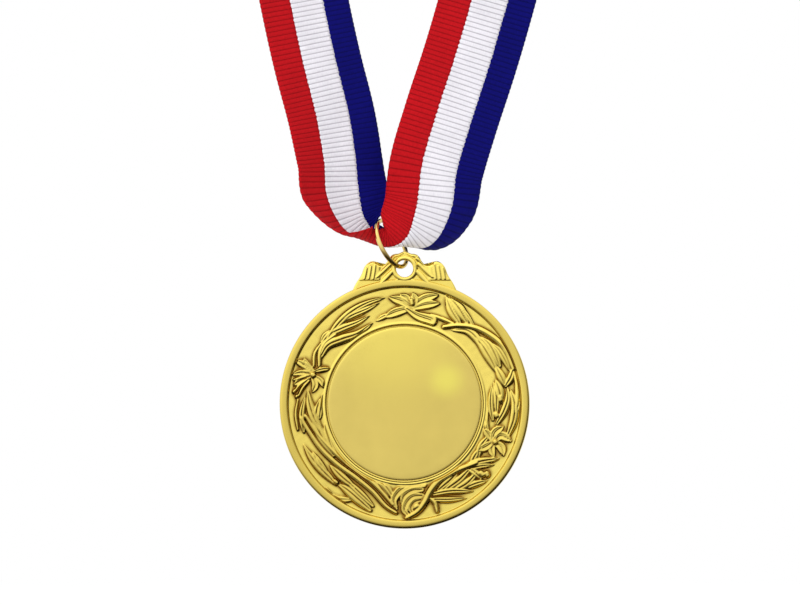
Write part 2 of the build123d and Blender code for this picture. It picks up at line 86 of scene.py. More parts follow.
# ribbon, mm; places across it (v) run from -0.5 at the red edge to 0.5 at the blue edge
RIBBON_W, RIBBON_T = 25.0, 0.5
RIB_PITCH = 1.25                              # cross ribs of the weave
RED_TO, WHITE_TO = -0.16, 0.21                # colour borders
SPLIT_Z = 118.0                               # the lower and upper meshes meet at this height
LAP = 14.0                                    # overlap of the two ends at the nape
LAP_DROP = -(RIBBON_T + 0.04)                 # offset along the surface normal in the overlap

# Ribbon stations: place along the ribbon, centre x y z, direction across the ribbon x y z,
# angle it curls through across its width (radians), width, pleat depth.
RIBBON_LINE = np.array([
    (-397.646, 5.39, 109.038, 325.39, 0.011, 0.331, -0.944, 0.003, 25, 0),
    (-383.332, -8.901, 108.244, 325.242, -0.014, 0.315, -0.949, 0.003, 25, 0),
    (-369.028, -22.656, 104.405, 324.414, -0.031, 0.307, -0.951, 0.003, 25, 0),
    (-354.71, -35.108, 97.523, 322.811, -0.043, 0.309, -0.95, 0.003, 25, 0),
    (-340.34, -45.659, 88.069, 320.402, -0.044, 0.32, -0.947, 0.003, 25, 0),
    (-325.915, -53.898, 76.694, 317.116, -0.02, 0.34, -0.94, 0.003, 25, 0),
    (-311.465, -59.813, 64.257, 312.74, 0.052, 0.38, -0.923, 0.003, 25, 0),
    (-297.028, -63.511, 51.536, 307.003, 0.179, 0.444, -0.878, 0.003, 25, 0),
    (-282.649, -64.888, 39.172, 299.791, 0.357, 0.526, -0.772, 0.003, 25, 0),
    (-268.318, -64.167, 27.829, 291.062, 0.548, 0.601, -0.582, 0.003, 25, 0),
    (-253.943, -62.288, 18.264, 280.498, 0.686, 0.634, -0.357, 0.003, 25, 0),
    (-239.442, -59.879, 11.047, 268.153, 0.754, 0.635, -0.17, 0.003, 25, 0),
    (-224.802, -57.242, 6.274, 254.566, 0.777, 0.629, -0.04, 0.003, 25, 0),
    (-210.034, -54.434, 3.408, 240.354, 0.784, 0.619, 0.046, 0.003, 25, 0),
    (-195.175, -51.435, 1.73, 225.898, 0.79, 0.604, 0.103, 0.003, 25, 0),
    (-180.255, -48.335, 0.924, 211.326, 0.799, 0.585, 0.141, 0.003, 25, 0),
    (-165.295, -45.194, 0.652, 196.702, 0.811, 0.562, 0.162, 0.003, 25, 0),
    (-150.309, -42.039, 0.583, 182.052, 0.827, 0.536, 0.173, 0.003, 25, 0),
    (-135.308, -38.892, 0.556, 167.384, 0.843, 0.508, 0.179, 0.003, 25, 0),
    (-120.296, -35.775, 0.583, 152.7, 0.859, 0.479, 0.183, 0.003, 25, 0),
    (-105.28, -32.682, 0.662, 138.006, 0.874, 0.449, 0.186, 0.003, 25, 0),
    (-54.266, -22.6, 1.1, 88, 0.9, 0.42, 0.1, 0.14, 25, 0),
    (-39.772, -19.2, 1.3, 73.8, 0.9, 0.43, 0.08, 0.3, 25, 0),
    (-28.294, -17.5, 1.5, 62.5, 0.88, 0.46, 0.1, 0.55, 25, 0),
    (-20.166, -16.8, 1.2, 54, 0.8, 0.44, 0.4, 0.95, 24.6, 0.03),
    (-12.946, -14.2, 0.6, 46.4, 0.6, 0.62, 0.52, 2, 19.6, 0.1),
    (-5.052, -8.5, 0.5, 41.8, 0.25, 0.93, 0.15, 4.8, 14, 0.2),
    (0, -4.6, 0.3, 40.75, 0, 1, 0, 5.3, 14.2, 0.22),
    (4.612, -0.7, -0.3, 41.2, 0.34, 0.82, -0.38, 4.5, 15.2, 0.2),
    (10.759, 3.7, -0.6, 43.8, 0.64, 0.45, -0.62, 1.95, 21.6, 0.1),
    (18.216, 6.9, -1.1, 50.6, 0.86, 0.22, -0.45, 0.95, 24.8, 0.03),
    (27.199, 8.3, -1.4, 60.6, 0.95, 0.12, -0.28, 0.5, 25, 0),
    (40.471, 12, -1.3, 73.8, 0.96, 0.12, -0.22, 0.3, 25, 0),
    (55.229, 16.6, -0.9, 88, 0.96, 0.15, -0.25, 0.14, 25, 0),
    (101.553, 28.949, -0.395, 132.673, 0.954, 0.146, -0.263, 0.003, 25, 0),
    (116.569, 32.933, -0.329, 147.151, 0.948, 0.181, -0.264, 0.003, 25, 0),
    (131.58, 36.942, -0.213, 161.616, 0.94, 0.215, -0.265, 0.003, 25, 0),
    (146.582, 40.988, -0.036, 176.061, 0.931, 0.248, -0.266, 0.003, 25, 0),
    (161.57, 45.086, 0.172, 190.476, 0.922, 0.279, -0.268, 0.003, 25, 0),
    (176.534, 49.2, 0.455, 204.861, 0.913, 0.309, -0.268, 0.003, 25, 0),
    (191.463, 53.188, 1.089, 219.233, 0.903, 0.334, -0.268, 0.003, 25, 0),
    (206.337, 56.887, 2.425, 233.578, 0.894, 0.356, -0.273, 0.003, 25, 0),
    (221.136, 60.225, 4.746, 247.808, 0.881, 0.372, -0.292, 0.003, 25, 0),
    (235.829, 63.242, 8.523, 261.682, 0.862, 0.383, -0.332, 0.003, 25, 0),
    (250.409, 65.882, 14.511, 274.711, 0.83, 0.393, -0.395, 0.003, 25, 0),
    (264.901, 67.932, 22.908, 286.344, 0.779, 0.409, -0.475, 0.003, 25, 0),
    (279.346, 68.947, 33.481, 296.133, 0.705, 0.431, -0.562, 0.003, 25, 0),
    (293.78, 68.336, 45.514, 304.081, 0.612, 0.454, -0.647, 0.003, 25, 0),
    (308.214, 65.641, 58.225, 310.367, 0.505, 0.466, -0.726, 0.003, 25, 0),
    (322.639, 60.797, 70.911, 315.234, 0.393, 0.463, -0.795, 0.003, 25, 0),
    (337.029, 53.737, 82.891, 318.937, 0.281, 0.447, -0.849, 0.003, 25, 0),
    (351.373, 44.317, 93.343, 321.721, 0.181, 0.42, -0.89, 0.003, 25, 0),
    (365.685, 32.743, 101.526, 323.702, 0.102, 0.386, -0.917, 0.003, 25, 0),
    (379.983, 19.52, 106.831, 324.906, 0.047, 0.355, -0.934, 0.003, 25, 0),
    (394.293, 5.39, 109.038, 325.39, 0.011, 0.331, -0.944, 0.003, 25, 0),
], float)
FIRST, LAST = RIBBON_LINE[0, 0], RIBBON_LINE[-1, 0]

# Just above the ring the strands cross: place along the ribbon, how far the edge is pushed.
RED_LIP = np.array([
    (-60, 0), (-1.5, 0), (0, 0), (1.5, 0.7), (3, 2.1), (4.5, 3.3), (6, 4.0), (7.5, 3.9),
    (9, 3.1), (10.5, 2.1), (12, 1.2), (14, 0.6), (17, 0.2), (20, 0), (23, 0), (60, 0)])
BLUE_LIP = np.array([
    (-60, 0), (-33, 0), (-30, 0), (-24, 0.4), (-21, 0.7), (-18, 1.1), (-15, 1.6), (-13.5, 1.9),
    (-12, 2.2), (-10.5, 2.2), (-9, 1.5), (-7.6, 0.4), (-6.6, 0), (-5, 0), (60, 0)])

# Relief on the front field: kind, width, height, centre line (x, z) on the medal.
RELIEF = [
    ("petal", 2.7, 0.86, [(1.62, 25.17), (-0.98, 26.73), (-3.76, 27.51)]),
    ("petal", 2.6, 0.8, [(1.36, 25.43), (0.33, 27.25), (-0.98, 28.29)]),
    ("petal", 2.2, 0.84, [(2.15, 25.43), (2.67, 26.99), (2.15, 28.68)]),
    ("petal", 2.6, 0.82, [(2.41, 25.43), (5.00, 27.25), (8.52, 28.16)]),
    ("petal", 2.4, 0.9, [(2.67, 24.91), (5.53, 25.69), (8.91, 26.08)]),
    ("petal", 2.6, 0.86, [(0.84, 24.65), (-2.79, 23.61), (-4.88, 22.57)]),
    ("leaf", 1.6, 0.7, [(-3.83, 23.35), (-5.66, 22.57), (-7.35, 21.53)]),
    ("trumpet", 3.4, 0.95, [(0.58, 24.65), (2.93, 23.09), (6.83, 21.66)]),
    ("stem", 1.2, 0.6, [(6.83, 23.09), (9.69, 22.05), (12.54, 20.88)]),
    ("dot", 1.3, 1.0, [(2.02, 25.95), (1.76, 26.99)]),
    ("leaf", 2.6, 0.72, [(14.37, 20.75), (12.29, 24.13), (10.86, 27.90)]),
    ("leaf", 3.0, 0.78, [(16.19, 21.27), (14.37, 24.39), (11.77, 27.64)]),
    ("leaf", 1.4, 0.62, [(18.00, 20.23), (15.93, 23.35), (13.59, 25.95)]),
    ("leaf", 2.4, 0.82,
     [(-20.48, 15.81), (-17.36, 20.49), (-12.68, 24.52), (-8.78, 26.47), (-5.40, 27.51)]),
    ("leaf", 1.9, 0.72,
     [(-19.18, 18.15), (-16.57, 21.27), (-13.71, 22.83), (-9.55, 24.65), (-6.70, 26.21)]),
    ("leaf", 2.6, 0.94,
     [(-21.78, 12.17), (-19.96, 15.03), (-16.32, 16.72), (-12.16, 18.15), (-8.52, 20.88)]),
    ("leaf", 2.2, 0.74,
     [(-21.52, 15.55), (-19.44, 17.89), (-16.32, 19.45), (-11.89, 21.27), (-9.29, 22.83)]),
    ("stem", 1.3, 0.66, [(-22.16, 9.83), (-21.91, 13.47), (-20.73, 15.81), (-18.14, 17.89)]),
    ("stem", 1.1, 0.6, [(-23.60, 9.83), (-23.34, 12.95), (-21.78, 15.55)]),
    ("leaf", 1.6, 0.62, [(-19.44, 18.93), (-21.00, 17.37), (-21.78, 15.81)]),
    ("leaf", 1.5, 0.95, [(-23.34, 8.40), (-21.25, 8.92), (-19.05, 9.10)]),
    ("petal", 1.9, 0.9, [(-24.12, 8.53), (-26.20, 10.09), (-28.54, 11.26)]),
    ("petal", 1.5, 0.84, [(-23.86, 8.66), (-25.41, 10.35), (-26.20, 11.78)]),
    ("petal", 1.7, 0.9, [(-24.38, 7.75), (-26.71, 8.01), (-29.05, 7.62)]),
    ("petal", 1.9, 0.95, [(-24.38, 7.23), (-26.71, 6.19), (-28.80, 4.89)]),
    ("petal", 1.9, 0.92, [(-23.86, 6.71), (-23.21, 4.89), (-23.86, 3.07)]),
    ("petal", 1.6, 0.86, [(-23.34, 7.10), (-21.78, 5.93), (-20.87, 4.11)]),
    ("stem", 1.0, 0.84, [(-25.16, 6.45), (-27.23, 4.89), (-28.54, 3.33)]),
    ("stem", 1.0, 0.8, [(-24.89, 5.93), (-26.46, 4.11), (-27.50, 2.16)]),
    ("stem", 0.9, 0.72, [(-25.68, 7.10), (-27.50, 6.58), (-28.80, 6.19)]),
    ("dot", 1.6, 1.02, [(-23.98, 7.62), (-23.73, 7.36)]),
    ("dot", 1.0, 0.86, [(-28.67, 3.33), (-28.80, 3.07)]),
    ("dot", 1.0, 0.86, [(-28.02, 2.03), (-28.07, 1.77)]),
    ("dot", 0.9, 0.8, [(-29.32, 10.87), (-29.57, 10.71)]),
    ("leaf", 1.8, 0.66, [(-26.20, -7.33), (-26.71, -3.17), (-25.94, 1.77)]),
    ("leaf", 2.6, 0.84, [(-21.52, -7.33), (-23.60, -3.43), (-24.64, -0.05), (-25.16, 3.33)]),
    ("leaf", 1.8, 0.66, [(-22.82, -5.51), (-22.82, -1.87), (-22.04, 1.25)]),
    ("leaf", 1.9, 0.74, [(-22.04, -3.69), (-21.52, -0.31), (-20.21, 4.11)]),
    ("stem", 0.9, 0.56, [(-27.76, -6.81), (-28.28, -2.65), (-27.76, 0.99)]),
    ("stem", 1.5, 0.8,
     [(-26.98, -3.69), (-24.64, -7.59), (-21.52, -12.01), (-17.36, -15.91),
      (-12.68, -19.29), (-8.26, -22.93), (-4.36, -27.09), (-2.27, -28.39)]),
    ("stem", 1.3, 0.74,
     [(-25.68, -3.17), (-23.07, -7.33), (-19.44, -11.49), (-15.79, -14.87),
      (-11.12, -18.25), (-6.70, -22.15), (-3.06, -26.31)]),
    ("leaf", 3.0, 0.7, [(-18.39, -13.31), (-21.00, -9.41), (-23.07, -5.25), (-23.86, -1.09)]),
    ("leaf", 2.6, 0.66, [(-17.36, -13.57), (-18.91, -10.97), (-19.96, -7.85), (-20.73, -5.25)]),
    ("leaf", 2.4, 0.74, [(-17.88, -20.85), (-21.52, -17.21), (-24.12, -14.09), (-26.20, -10.71)]),
    ("leaf", 1.8, 0.68, [(-21.52, -16.69), (-22.55, -15.13), (-23.86, -12.53)]),
    ("leaf", 1.7, 0.76, [(-19.96, -18.25), (-21.52, -16.17), (-23.07, -13.31)]),
    ("leaf", 2.4, 0.84, [(-13.20, -21.63), (-16.32, -19.03), (-19.44, -15.91)]),
    ("leaf", 3.0, 0.78, [(-9.04, -27.61), (-12.16, -24.75), (-15.28, -22.15), (-17.36, -20.85)]),
    ("leaf", 2.0, 0.76, [(-8.26, -26.57), (-11.12, -23.71), (-14.24, -20.85), (-16.32, -19.29)]),
    ("leaf", 2.0, 0.66, [(-13.97, -25.01), (-17.36, -24.75), (-19.96, -23.45)]),
    ("leaf", 1.5, 0.6, [(-18.91, -23.45), (-20.48, -22.41), (-21.78, -21.63)]),
    ("leaf", 2.2, 0.66, [(-4.36, -24.23), (-7.48, -20.33), (-10.60, -18.25), (-13.97, -16.69)]),
    ("leaf", 2.0, 0.66, [(-2.54, -25.01), (-4.62, -21.89), (-6.70, -19.81), (-8.78, -19.03)]),
    ("dot", 1.2, 0.9, [(-18.14, -20.07), (-17.62, -20.59)]),
    ("petal", 2.6, 0.86,
     [(5.00, -21.11), (1.36, -21.37), (-1.50, -22.93), (-2.79, -25.27), (-2.02, -27.35)]),
    ("petal", 2.2, 0.82, [(4.49, -22.41), (1.89, -22.67), (-0.20, -24.23), (-0.72, -26.05)]),
    ("petal", 2.4, 0.9,
     [(4.49, -23.97), (2.15, -24.23), (0.58, -25.79), (0.07, -27.87), (1.10, -29.17)]),
    ("petal", 1.9, 0.88, [(4.23, -25.01), (2.41, -25.79), (1.62, -27.35), (2.15, -28.65)]),
    ("dot", 1.6, 0.92, [(2.93, -26.83), (3.31, -26.57)]),
    ("stem", 2.0, 1.0,
     [(18.53, -15.39), (12.80, -17.73), (8.91, -20.07), (6.57, -22.93),
      (5.27, -25.53), (3.19, -28.13), (0.58, -29.69)]),
    ("stem", 1.2, 0.72, [(6.04, -24.23), (7.87, -25.79), (8.52, -28.13)]),
    ("leaf", 1.9, 0.8, [(6.57, -23.71), (11.77, -22.80), (17.75, -22.80)]),
    ("leaf", 1.7, 0.74, [(6.57, -24.88), (11.25, -25.01), (15.93, -24.62)]),
    ("leaf", 2.0, 0.78, [(7.61, -21.89), (9.95, -19.55), (12.29, -17.73)]),
    ("leaf", 2.4, 0.84, [(8.91, -22.41), (12.03, -19.81), (14.11, -17.47)]),
    ("leaf", 2.6, 0.86, [(10.72, -22.41), (14.37, -19.81), (17.23, -16.69)]),
    ("leaf", 2.6, 0.8, [(12.80, -22.67), (16.19, -20.85), (19.05, -17.73)]),
    ("leaf", 2.0, 0.74, [(15.93, -21.89), (18.53, -20.85), (21.39, -20.07)]),
    ("leaf", 2.2, 0.78, [(19.82, -19.29), (17.75, -17.47), (15.93, -16.43)]),
    ("leaf", 2.4, 0.84, [(14.88, -16.69), (19.57, -15.13), (24.51, -14.35)]),
    ("leaf", 1.6, 0.74, [(14.37, -17.73), (19.05, -16.43), (23.21, -15.91)]),
    ("dot", 1.6, 0.86, [(19.82, -17.99), (20.35, -18.51)]),
    ("dot", 1.4, 0.84, [(21.39, -17.99), (21.64, -18.64)]),
    ("petal", 2.6, 0.92, [(23.21, -9.67), (25.03, -8.37), (27.62, -9.67)]),
    ("petal", 2.6, 0.9, [(22.95, -9.41), (23.46, -7.59), (25.55, -6.03)]),
    ("petal", 2.4, 0.86, [(22.69, -10.19), (21.12, -11.23), (19.30, -12.01)]),
    ("petal", 2.4, 0.88, [(23.46, -10.19), (25.03, -11.23), (25.80, -13.31)]),
    ("petal", 2.2, 0.84, [(22.69, -9.41), (21.64, -7.85), (20.61, -6.81)]),
    ("petal", 2.0, 0.82, [(22.95, -10.45), (22.69, -12.27), (23.21, -13.83)]),
    ("dot", 1.5, 1.02, [(23.46, -9.80), (23.60, -10.06)]),
    ("leaf", 2.2, 0.72, [(19.05, -14.09), (19.82, -11.23), (21.91, -8.37)]),
    ("leaf", 2.0, 0.7, [(17.23, -15.65), (18.53, -13.31), (19.82, -11.49)]),
    ("stem", 1.7, 0.84,
     [(10.21, 19.97), (13.85, 20.36), (18.53, 19.71), (22.16, 17.89),
      (25.29, 15.29), (27.11, 12.43), (28.41, 9.05)]),
    ("leaf", 2.4, 0.72, [(20.61, 13.47), (19.05, 16.59), (16.45, 18.93), (12.29, 19.19)]),
    ("leaf", 2.8, 0.8, [(23.98, 8.53), (21.91, 12.43), (19.82, 15.55), (17.48, 17.63)]),
    ("leaf", 2.4, 0.74, [(24.77, 9.83), (23.46, 12.95), (21.91, 15.55), (19.82, 17.37)]),
    ("leaf", 2.0, 0.76, [(27.37, 8.79), (25.80, 11.91), (24.51, 13.99), (22.43, 15.81)]),
    ("leaf", 2.4, 0.82, [(26.32, 4.63), (25.29, 6.71), (23.73, 9.83)]),
    ("leaf", 2.2, 0.8, [(26.32, 4.63), (27.62, 6.71), (28.41, 9.57)]),
    ("leaf", 2.6, 0.84, [(25.29, 0.47), (24.77, 3.07), (23.73, 6.19)]),
    ("leaf", 2.6, 0.84, [(28.41, -3.69), (29.71, -0.05), (29.71, 4.11), (28.67, 8.53)]),
    ("leaf", 2.6, 0.88, [(26.85, -8.37), (28.41, -4.21), (28.67, -0.05), (27.62, 3.59)]),
    ("leaf", 2.2, 0.78, [(23.98, -5.25), (25.80, -2.13), (26.85, 0.99), (26.85, 4.11)]),
    ("leaf", 1.9, 0.74, [(22.95, -4.21), (22.43, -0.05), (22.69, 4.63)]),
    ("leaf", 1.8, 0.72, [(23.98, -2.13), (23.98, 1.51), (23.21, 5.41)]),
    ("leaf", 2.0, 0.7, [(21.64, -6.81), (20.87, -3.69), (21.39, 0.47)]),
    ("dot", 1.5, 0.86, [(23.73, -2.65), (23.98, -3.17)]),
    ("dot", 1.5, 0.84, [(24.77, 1.77), (25.03, 0.99)]),
]


# ---- shader helpers --------------------------------------------------------------------------
def add(tree, kind, inputs=None, **properties):
    """Add a shader node. An input given as a socket is linked, any other value is set."""
    node = tree.nodes.new("ShaderNode" + kind)
    for key, value in properties.items():
        setattr(node, key, value)
    for key, value in (inputs or {}).items():
        if isinstance(value, bpy.types.NodeSocket):
            tree.links.new(value, node.inputs[key])
        else:
            node.inputs[key].default_value = value
    return node


def new_material(name):
    material = bpy.data.materials.new(name)
    material.use_nodes = True
    material.node_tree.nodes.clear()
    return material, material.node_tree


def surface(tree, inputs):
    """A Principled shader with these inputs, wired to the output."""
    shader = add(tree, "BsdfPrincipled", inputs)
    add(tree, "OutputMaterial", {"Surface": shader.outputs[0]})


def grey(level):
    return (level, level, level)


def ramp(tree, value, stops):
    """Colour ramp through stops of (position, colour)."""
    node = add(tree, "ValToRGB", {0: value})
    elements = node.color_ramp.elements
    while len(elements) < len(stops):
        elements.new(0.5)
    for element, (position, colour) in zip(elements, stops):
        element.position = position
        element.color = (*colour, 1)
    return node.outputs[0]


def noise(tree, vector, scale, detail, roughness=0.5):
    return add(tree, "TexNoise", {"Vector": vector, "Scale": scale, "Detail": detail,
                                  "Roughness": roughness}).outputs["Fac"]


def stretched(tree, vector, scale):
    return add(tree, "Mapping", {"Vector": vector, "Scale": scale}).outputs[0]


def map_range(tree, value, limits, **properties):
    return add(tree, "MapRange", {"Value": value, **limits}, **properties).outputs[0]


def mix(tree, factor, first, second, **properties):
    node = add(tree, "Mix", data_type="RGBA", **properties,
               inputs={"Factor": factor, "A": first, "B": second})
    return node.outputs["Result"]


def multiply(tree, first, second):
    return mix(tree, 1.0, first, second, blend_type="MULTIPLY")


def bump(tree, height, strength, distance):
    return add(tree, "Bump", {"Height": height, "Strength": strength,
                              "Distance": distance}).outputs[0]


# ---- materials -------------------------------------------------------------------------------
def paint_recess_shade(tree, colour, painted_shade_colour):
    """Painted shade: the shade colour where ambient occlusion finds the surface hemmed in, and
    where the attribute of painted shade is high.
    """
    occlusion = add(tree, "AmbientOcclusion", {"Distance": 0.0008}, samples=6)
    openness = ramp(tree, occlusion.outputs["AO"], [(0.12, grey(0)), (0.56, grey(1))])
    colour = mix(tree, openness, (*painted_shade_colour, 1), colour)
    # painted shade, read from a per-vertex attribute worked out on the medal disc
    painted_shade = add(tree, "Attribute", attribute_name="painted_shade").outputs["Fac"]
    amount = ramp(tree, painted_shade, [(0.05, grey(0)), (0.85, grey(0.92))])
    return mix(tree, amount, colour, (*painted_shade_colour, 1))


def paint_highlight_spot(tree, colour, centre, radius, highlight_colour):
    """Painted highlight: a soft bright patch about a centre, in metres."""
    position = add(tree, "TexCoord").outputs["Object"]
    offset = add(tree, "VectorMath", {0: position, 1: centre}, operation="SUBTRACT")
    distance = add(tree, "VectorMath", {0: offset.outputs[0]}, operation="LENGTH")
    amount = map_range(tree, distance.outputs["Value"], {"From Min": radius, "From Max": 0.0},
                       interpolation_type="SMOOTHERSTEP")
    return mix(tree, amount, colour, (*highlight_colour, 1))


def gold(name, base, rough, painted_shade_colour=None, brushed=None, mottled=0.0, grain=0.0, painted_highlights=()):
    """Gold metal. The shade colour is painted shade for the hollows; brushed: noise scale of the
    brush marks;
    mottled: strength of dark mottling; grain: extra bump; the highlight patches are painted
    highlights."""
    material, tree = new_material(name)
    position = add(tree, "TexCoord").outputs["Object"]
    cloud = noise(tree, position, scale=55.0, detail=4.0, roughness=0.55)
    colour = ramp(tree, cloud, [(0.3, tuple(c * 0.90 for c in base)), (0.7, base)])
    if painted_shade_colour:
        # painted shade in the hollows
        colour = paint_recess_shade(tree, colour, painted_shade_colour)
    if mottled:
        blotch = noise(tree, position, scale=620.0, detail=6.0, roughness=0.7)
        dark = tuple(1 - mottled * k for k in (0.35, 0.6, 1.0))
        colour = multiply(tree, colour, ramp(tree, blotch, [(0.36, dark), (0.6, grey(1))]))
    # painted highlights: bright patches in the colour, not reflections
    for highlight in painted_highlights:
        colour = paint_highlight_spot(tree, colour, **highlight)
    wear = noise(tree, position, scale=180.0, detail=5.0, roughness=0.65)
    roughness = map_range(tree, wear, {"To Min": rough * 0.75, "To Max": rough * 1.35})
    if brushed:
        marks = noise(tree, stretched(tree, position, brushed),
                      scale=1.0, detail=4.0, roughness=0.6)
    else:
        marks = noise(tree, position, scale=2600.0, detail=3.0, roughness=0.6)
    surface(tree, {"Base Color": colour, "Metallic": 1.0, "Roughness": roughness,
                   "Normal": bump(tree, marks, strength=0.12 + grain, distance=0.00003)})
    return material


def cloth(name, base, alt):
    """Woven ribbon: warp threads along it, and painted shade in the furrows between the ribs of
    the mesh.
    """
    material, tree = new_material(name)
    uv = add(tree, "UVMap", uv_map="UVMap").outputs[0]
    warp = noise(tree, stretched(tree, uv, (3600.0, 900.0, 1.0)),
                 scale=1.0, detail=3.0, roughness=0.6)
    threads = ramp(tree, warp, [(0.25, alt), (0.62, base)])
    cloud = noise(tree, stretched(tree, uv, (90.0, 60.0, 1.0)), scale=1.0, detail=3.0)
    shade = ramp(tree, cloud, [(0.3, grey(0.88)), (0.7, grey(1))])
    along = add(tree, "SeparateXYZ", {0: uv}).outputs["Y"]
    phase = add(tree, "Math", {0: along, 1: math.pi / (RIB_PITCH * MM)}, operation="MULTIPLY")
    wave = add(tree, "Math", {0: phase.outputs[0]}, operation="SINE")
    ribs = add(tree, "Math", {0: wave.outputs[0]}, operation="ABSOLUTE")
    # painted shade in the furrows between the ribs
    painted_furrow_shade = ramp(tree, ribs.outputs[0], [(0.0, (0.50, 0.49, 0.51)), (0.55, grey(1))])
    surface(tree, {
        "Base Color": multiply(tree, multiply(tree, threads, shade), painted_furrow_shade),
        "Roughness": 0.78, "Sheen Weight": 0.015, "Sheen Roughness": 0.5,
        "Specular IOR Level": 0.06,
        "Normal": bump(tree, warp, strength=0.30, distance=0.00006)})
    return material


def foam(name):
    """Pale, finely celled foam."""
    material, tree = new_material(name)
    position = add(tree, "TexCoord").outputs["Object"]
    cells = add(tree, "TexVoronoi", {"Vector": position, "Scale": 3000.0})
    colour = ramp(tree, cells.outputs["Distance"],
                  [(0.0, (0.75, 0.75, 0.72)), (0.7, (0.92, 0.92, 0.9))])
    surface(tree, {"Base Color": colour, "Roughness": 0.8})
    return material


# cast relief: painted shade in its hollows
CAST_GOLD = gold("gold_cast_relief", base=(1.0, 0.80, 0.175), rough=0.18,
                 painted_shade_colour=(0.20, 0.078, 0.005))
BACK_GOLD = gold("gold_back_field", base=(0.96, 0.88, 0.36), rough=0.30, mottled=0.30, grain=0.25)
# insert: a broad painted highlight at the top and a small bright painted highlight right of centre
INSERT_GOLD = gold(
    "gold_insert_satin", base=(0.84, 0.66, 0.17), rough=0.30, brushed=(120.0, 120.0, 2600.0),
    painted_highlights=[dict(centre=(-0.004, FACE_Y, 0.021), radius=0.030, highlight_colour=(0.94, 0.77, 0.17)),
           dict(centre=(0.0108, FACE_Y, 0.0062), radius=0.0070,
                highlight_colour=(0.95, 0.83, 0.17))])
WIRE_GOLD = gold("gold_wire", base=(0.78, 0.58, 0.20), rough=0.15)
WEAVE = {
    "red": cloth("ribbon_red_weave", base=(0.42, 0.0055, 0.0095), alt=(0.34, 0.004, 0.007)),
    "white": cloth("ribbon_white_weave", base=(0.68, 0.66, 0.70), alt=(0.60, 0.58, 0.63)),
    "blue": cloth("ribbon_blue_weave", base=(0.0030, 0.0030, 0.122), alt=(0.0020, 0.0020, 0.088)),
    # no piece wears the selvedge weave
    "selvedge": cloth("ribbon_selvedge", base=(0.72, 0.70, 0.78), alt=(0.5, 0.48, 0.6)),
}
THREAD = cloth("sewing_thread", base=(0.80, 0.78, 0.76), alt=(0.55, 0.53, 0.52))
FOAM = foam("adhesive_foam")


# ---- mesh helpers ----------------------------------------------------------------------------
def make_mesh(name, verts, quads, materials, tris=np.zeros((0, 3), int), uvs=None,
              face_material=None):
    """Smooth-shaded object from points in mm about the medal's mid-plane."""
    mesh = bpy.data.meshes.new(name)
    points = np.asarray(verts, float) * MM
    points[:, 1] += MID_Y
    corners = np.concatenate([np.ravel(quads), np.ravel(tris)]).astype(np.int32)
    sizes = np.repeat([4, 3], [len(quads), len(tris)]).astype(np.int32)
    mesh.vertices.add(len(points))
    mesh.vertices.foreach_set("co", points.astype(np.float32).ravel())
    mesh.loops.add(len(corners))
    mesh.loops.foreach_set("vertex_index", corners)
    mesh.polygons.add(len(sizes))
    mesh.polygons.foreach_set("loop_start", (np.cumsum(sizes) - sizes).astype(np.int32))
    mesh.polygons.foreach_set("loop_total", sizes)
    mesh.polygons.foreach_set("use_smooth", np.ones(len(sizes), bool))
    if uvs is not None:
        layer = mesh.uv_layers.new(name="UVMap")
        layer.data.foreach_set("uv", np.asarray(uvs, np.float32)[corners].ravel())
    for material in materials:
        mesh.materials.append(material)
    if face_material is not None:
        indices = np.broadcast_to(face_material, len(sizes)).astype(np.int32)
        mesh.polygons.foreach_set("material_index", indices)
    mesh.update()
    mesh.validate()
    thing = bpy.data.objects.new(name, mesh)
    bpy.context.scene.collection.objects.link(thing)
    return thing


def tube_quads(rows, columns):
    """Quads between successive closed rows of points."""
    i, j = np.meshgrid(np.arange(rows - 1), np.arange(columns), indexing="ij")
    after = (j + 1) % columns
    return np.stack([i * columns + j, (i + 1) * columns + j,
                     (i + 1) * columns + after, i * columns + after], -1).reshape(-1, 4)


def end_fans(rows, columns):
    """Triangle fans closing a tube, about two centre points that follow its rows."""
    j = np.arange(columns)
    after = (j + 1) % columns
    centre, last = rows * columns, (rows - 1) * columns
    return (np.stack([np.full(columns, centre), j, after], 1),
            np.stack([np.full(columns, centre + 1), last + after, last + j], 1))


def circle(steps):
    return np.linspace(0, 2 * math.pi, steps, endpoint=False)


def revolve(radii, heights, steps):
    """Solid turned about Y, from the front centre round the rim to the back centre."""
    angle = circle(steps)
    x, z = radii[:, None] * np.cos(angle), radii[:, None] * np.sin(angle)
    y = np.broadcast_to(-heights, x.shape)
    verts = np.concatenate([np.stack([x, y, z], -1).reshape(-1, 3),
                            [[0, y[0, 0], 0]], [[0, y[-1, 0], 0]]])
    fans = end_fans(len(radii), steps)
    return verts, tube_quads(len(radii), steps), np.concatenate(fans)


def hermite(places, knots, values):
    """Smooth curve through the values at the knots."""
    gaps = np.diff(knots)
    slopes = np.diff(values, axis=0) / gaps[:, None]
    tangents = np.zeros_like(values)
    tangents[0], tangents[-1] = slopes[0], slopes[-1]
    tangents[1:-1] = ((slopes[:-1] * gaps[1:, None] + slopes[1:] * gaps[:-1, None])
                      / (gaps[:-1] + gaps[1:])[:, None])
    i = np.clip(np.searchsorted(knots, places, side="right") - 1, 0, len(knots) - 2)
    gap = gaps[i][:, None]
    u = ((places - knots[i]) / gaps[i])[:, None]
    return ((2 * u**3 - 3 * u**2 + 1) * values[i] + (u**3 - 2 * u**2 + u) * gap * tangents[i]
            + (-2 * u**3 + 3 * u**2) * values[i + 1] + (u**3 - u**2) * gap * tangents[i + 1])


def running_length(points):
    return np.r_[0, np.cumsum(np.linalg.norm(np.diff(points, axis=0), axis=1))]


def smooth_line(points, count):
    points = np.array(points, float)
    if len(points) == 2:
        return points[0] + (points[1] - points[0]) * np.linspace(0, 1, count)[:, None]
    length = running_length(points)
    return hermite(np.linspace(0, length[-1], count), length, points)


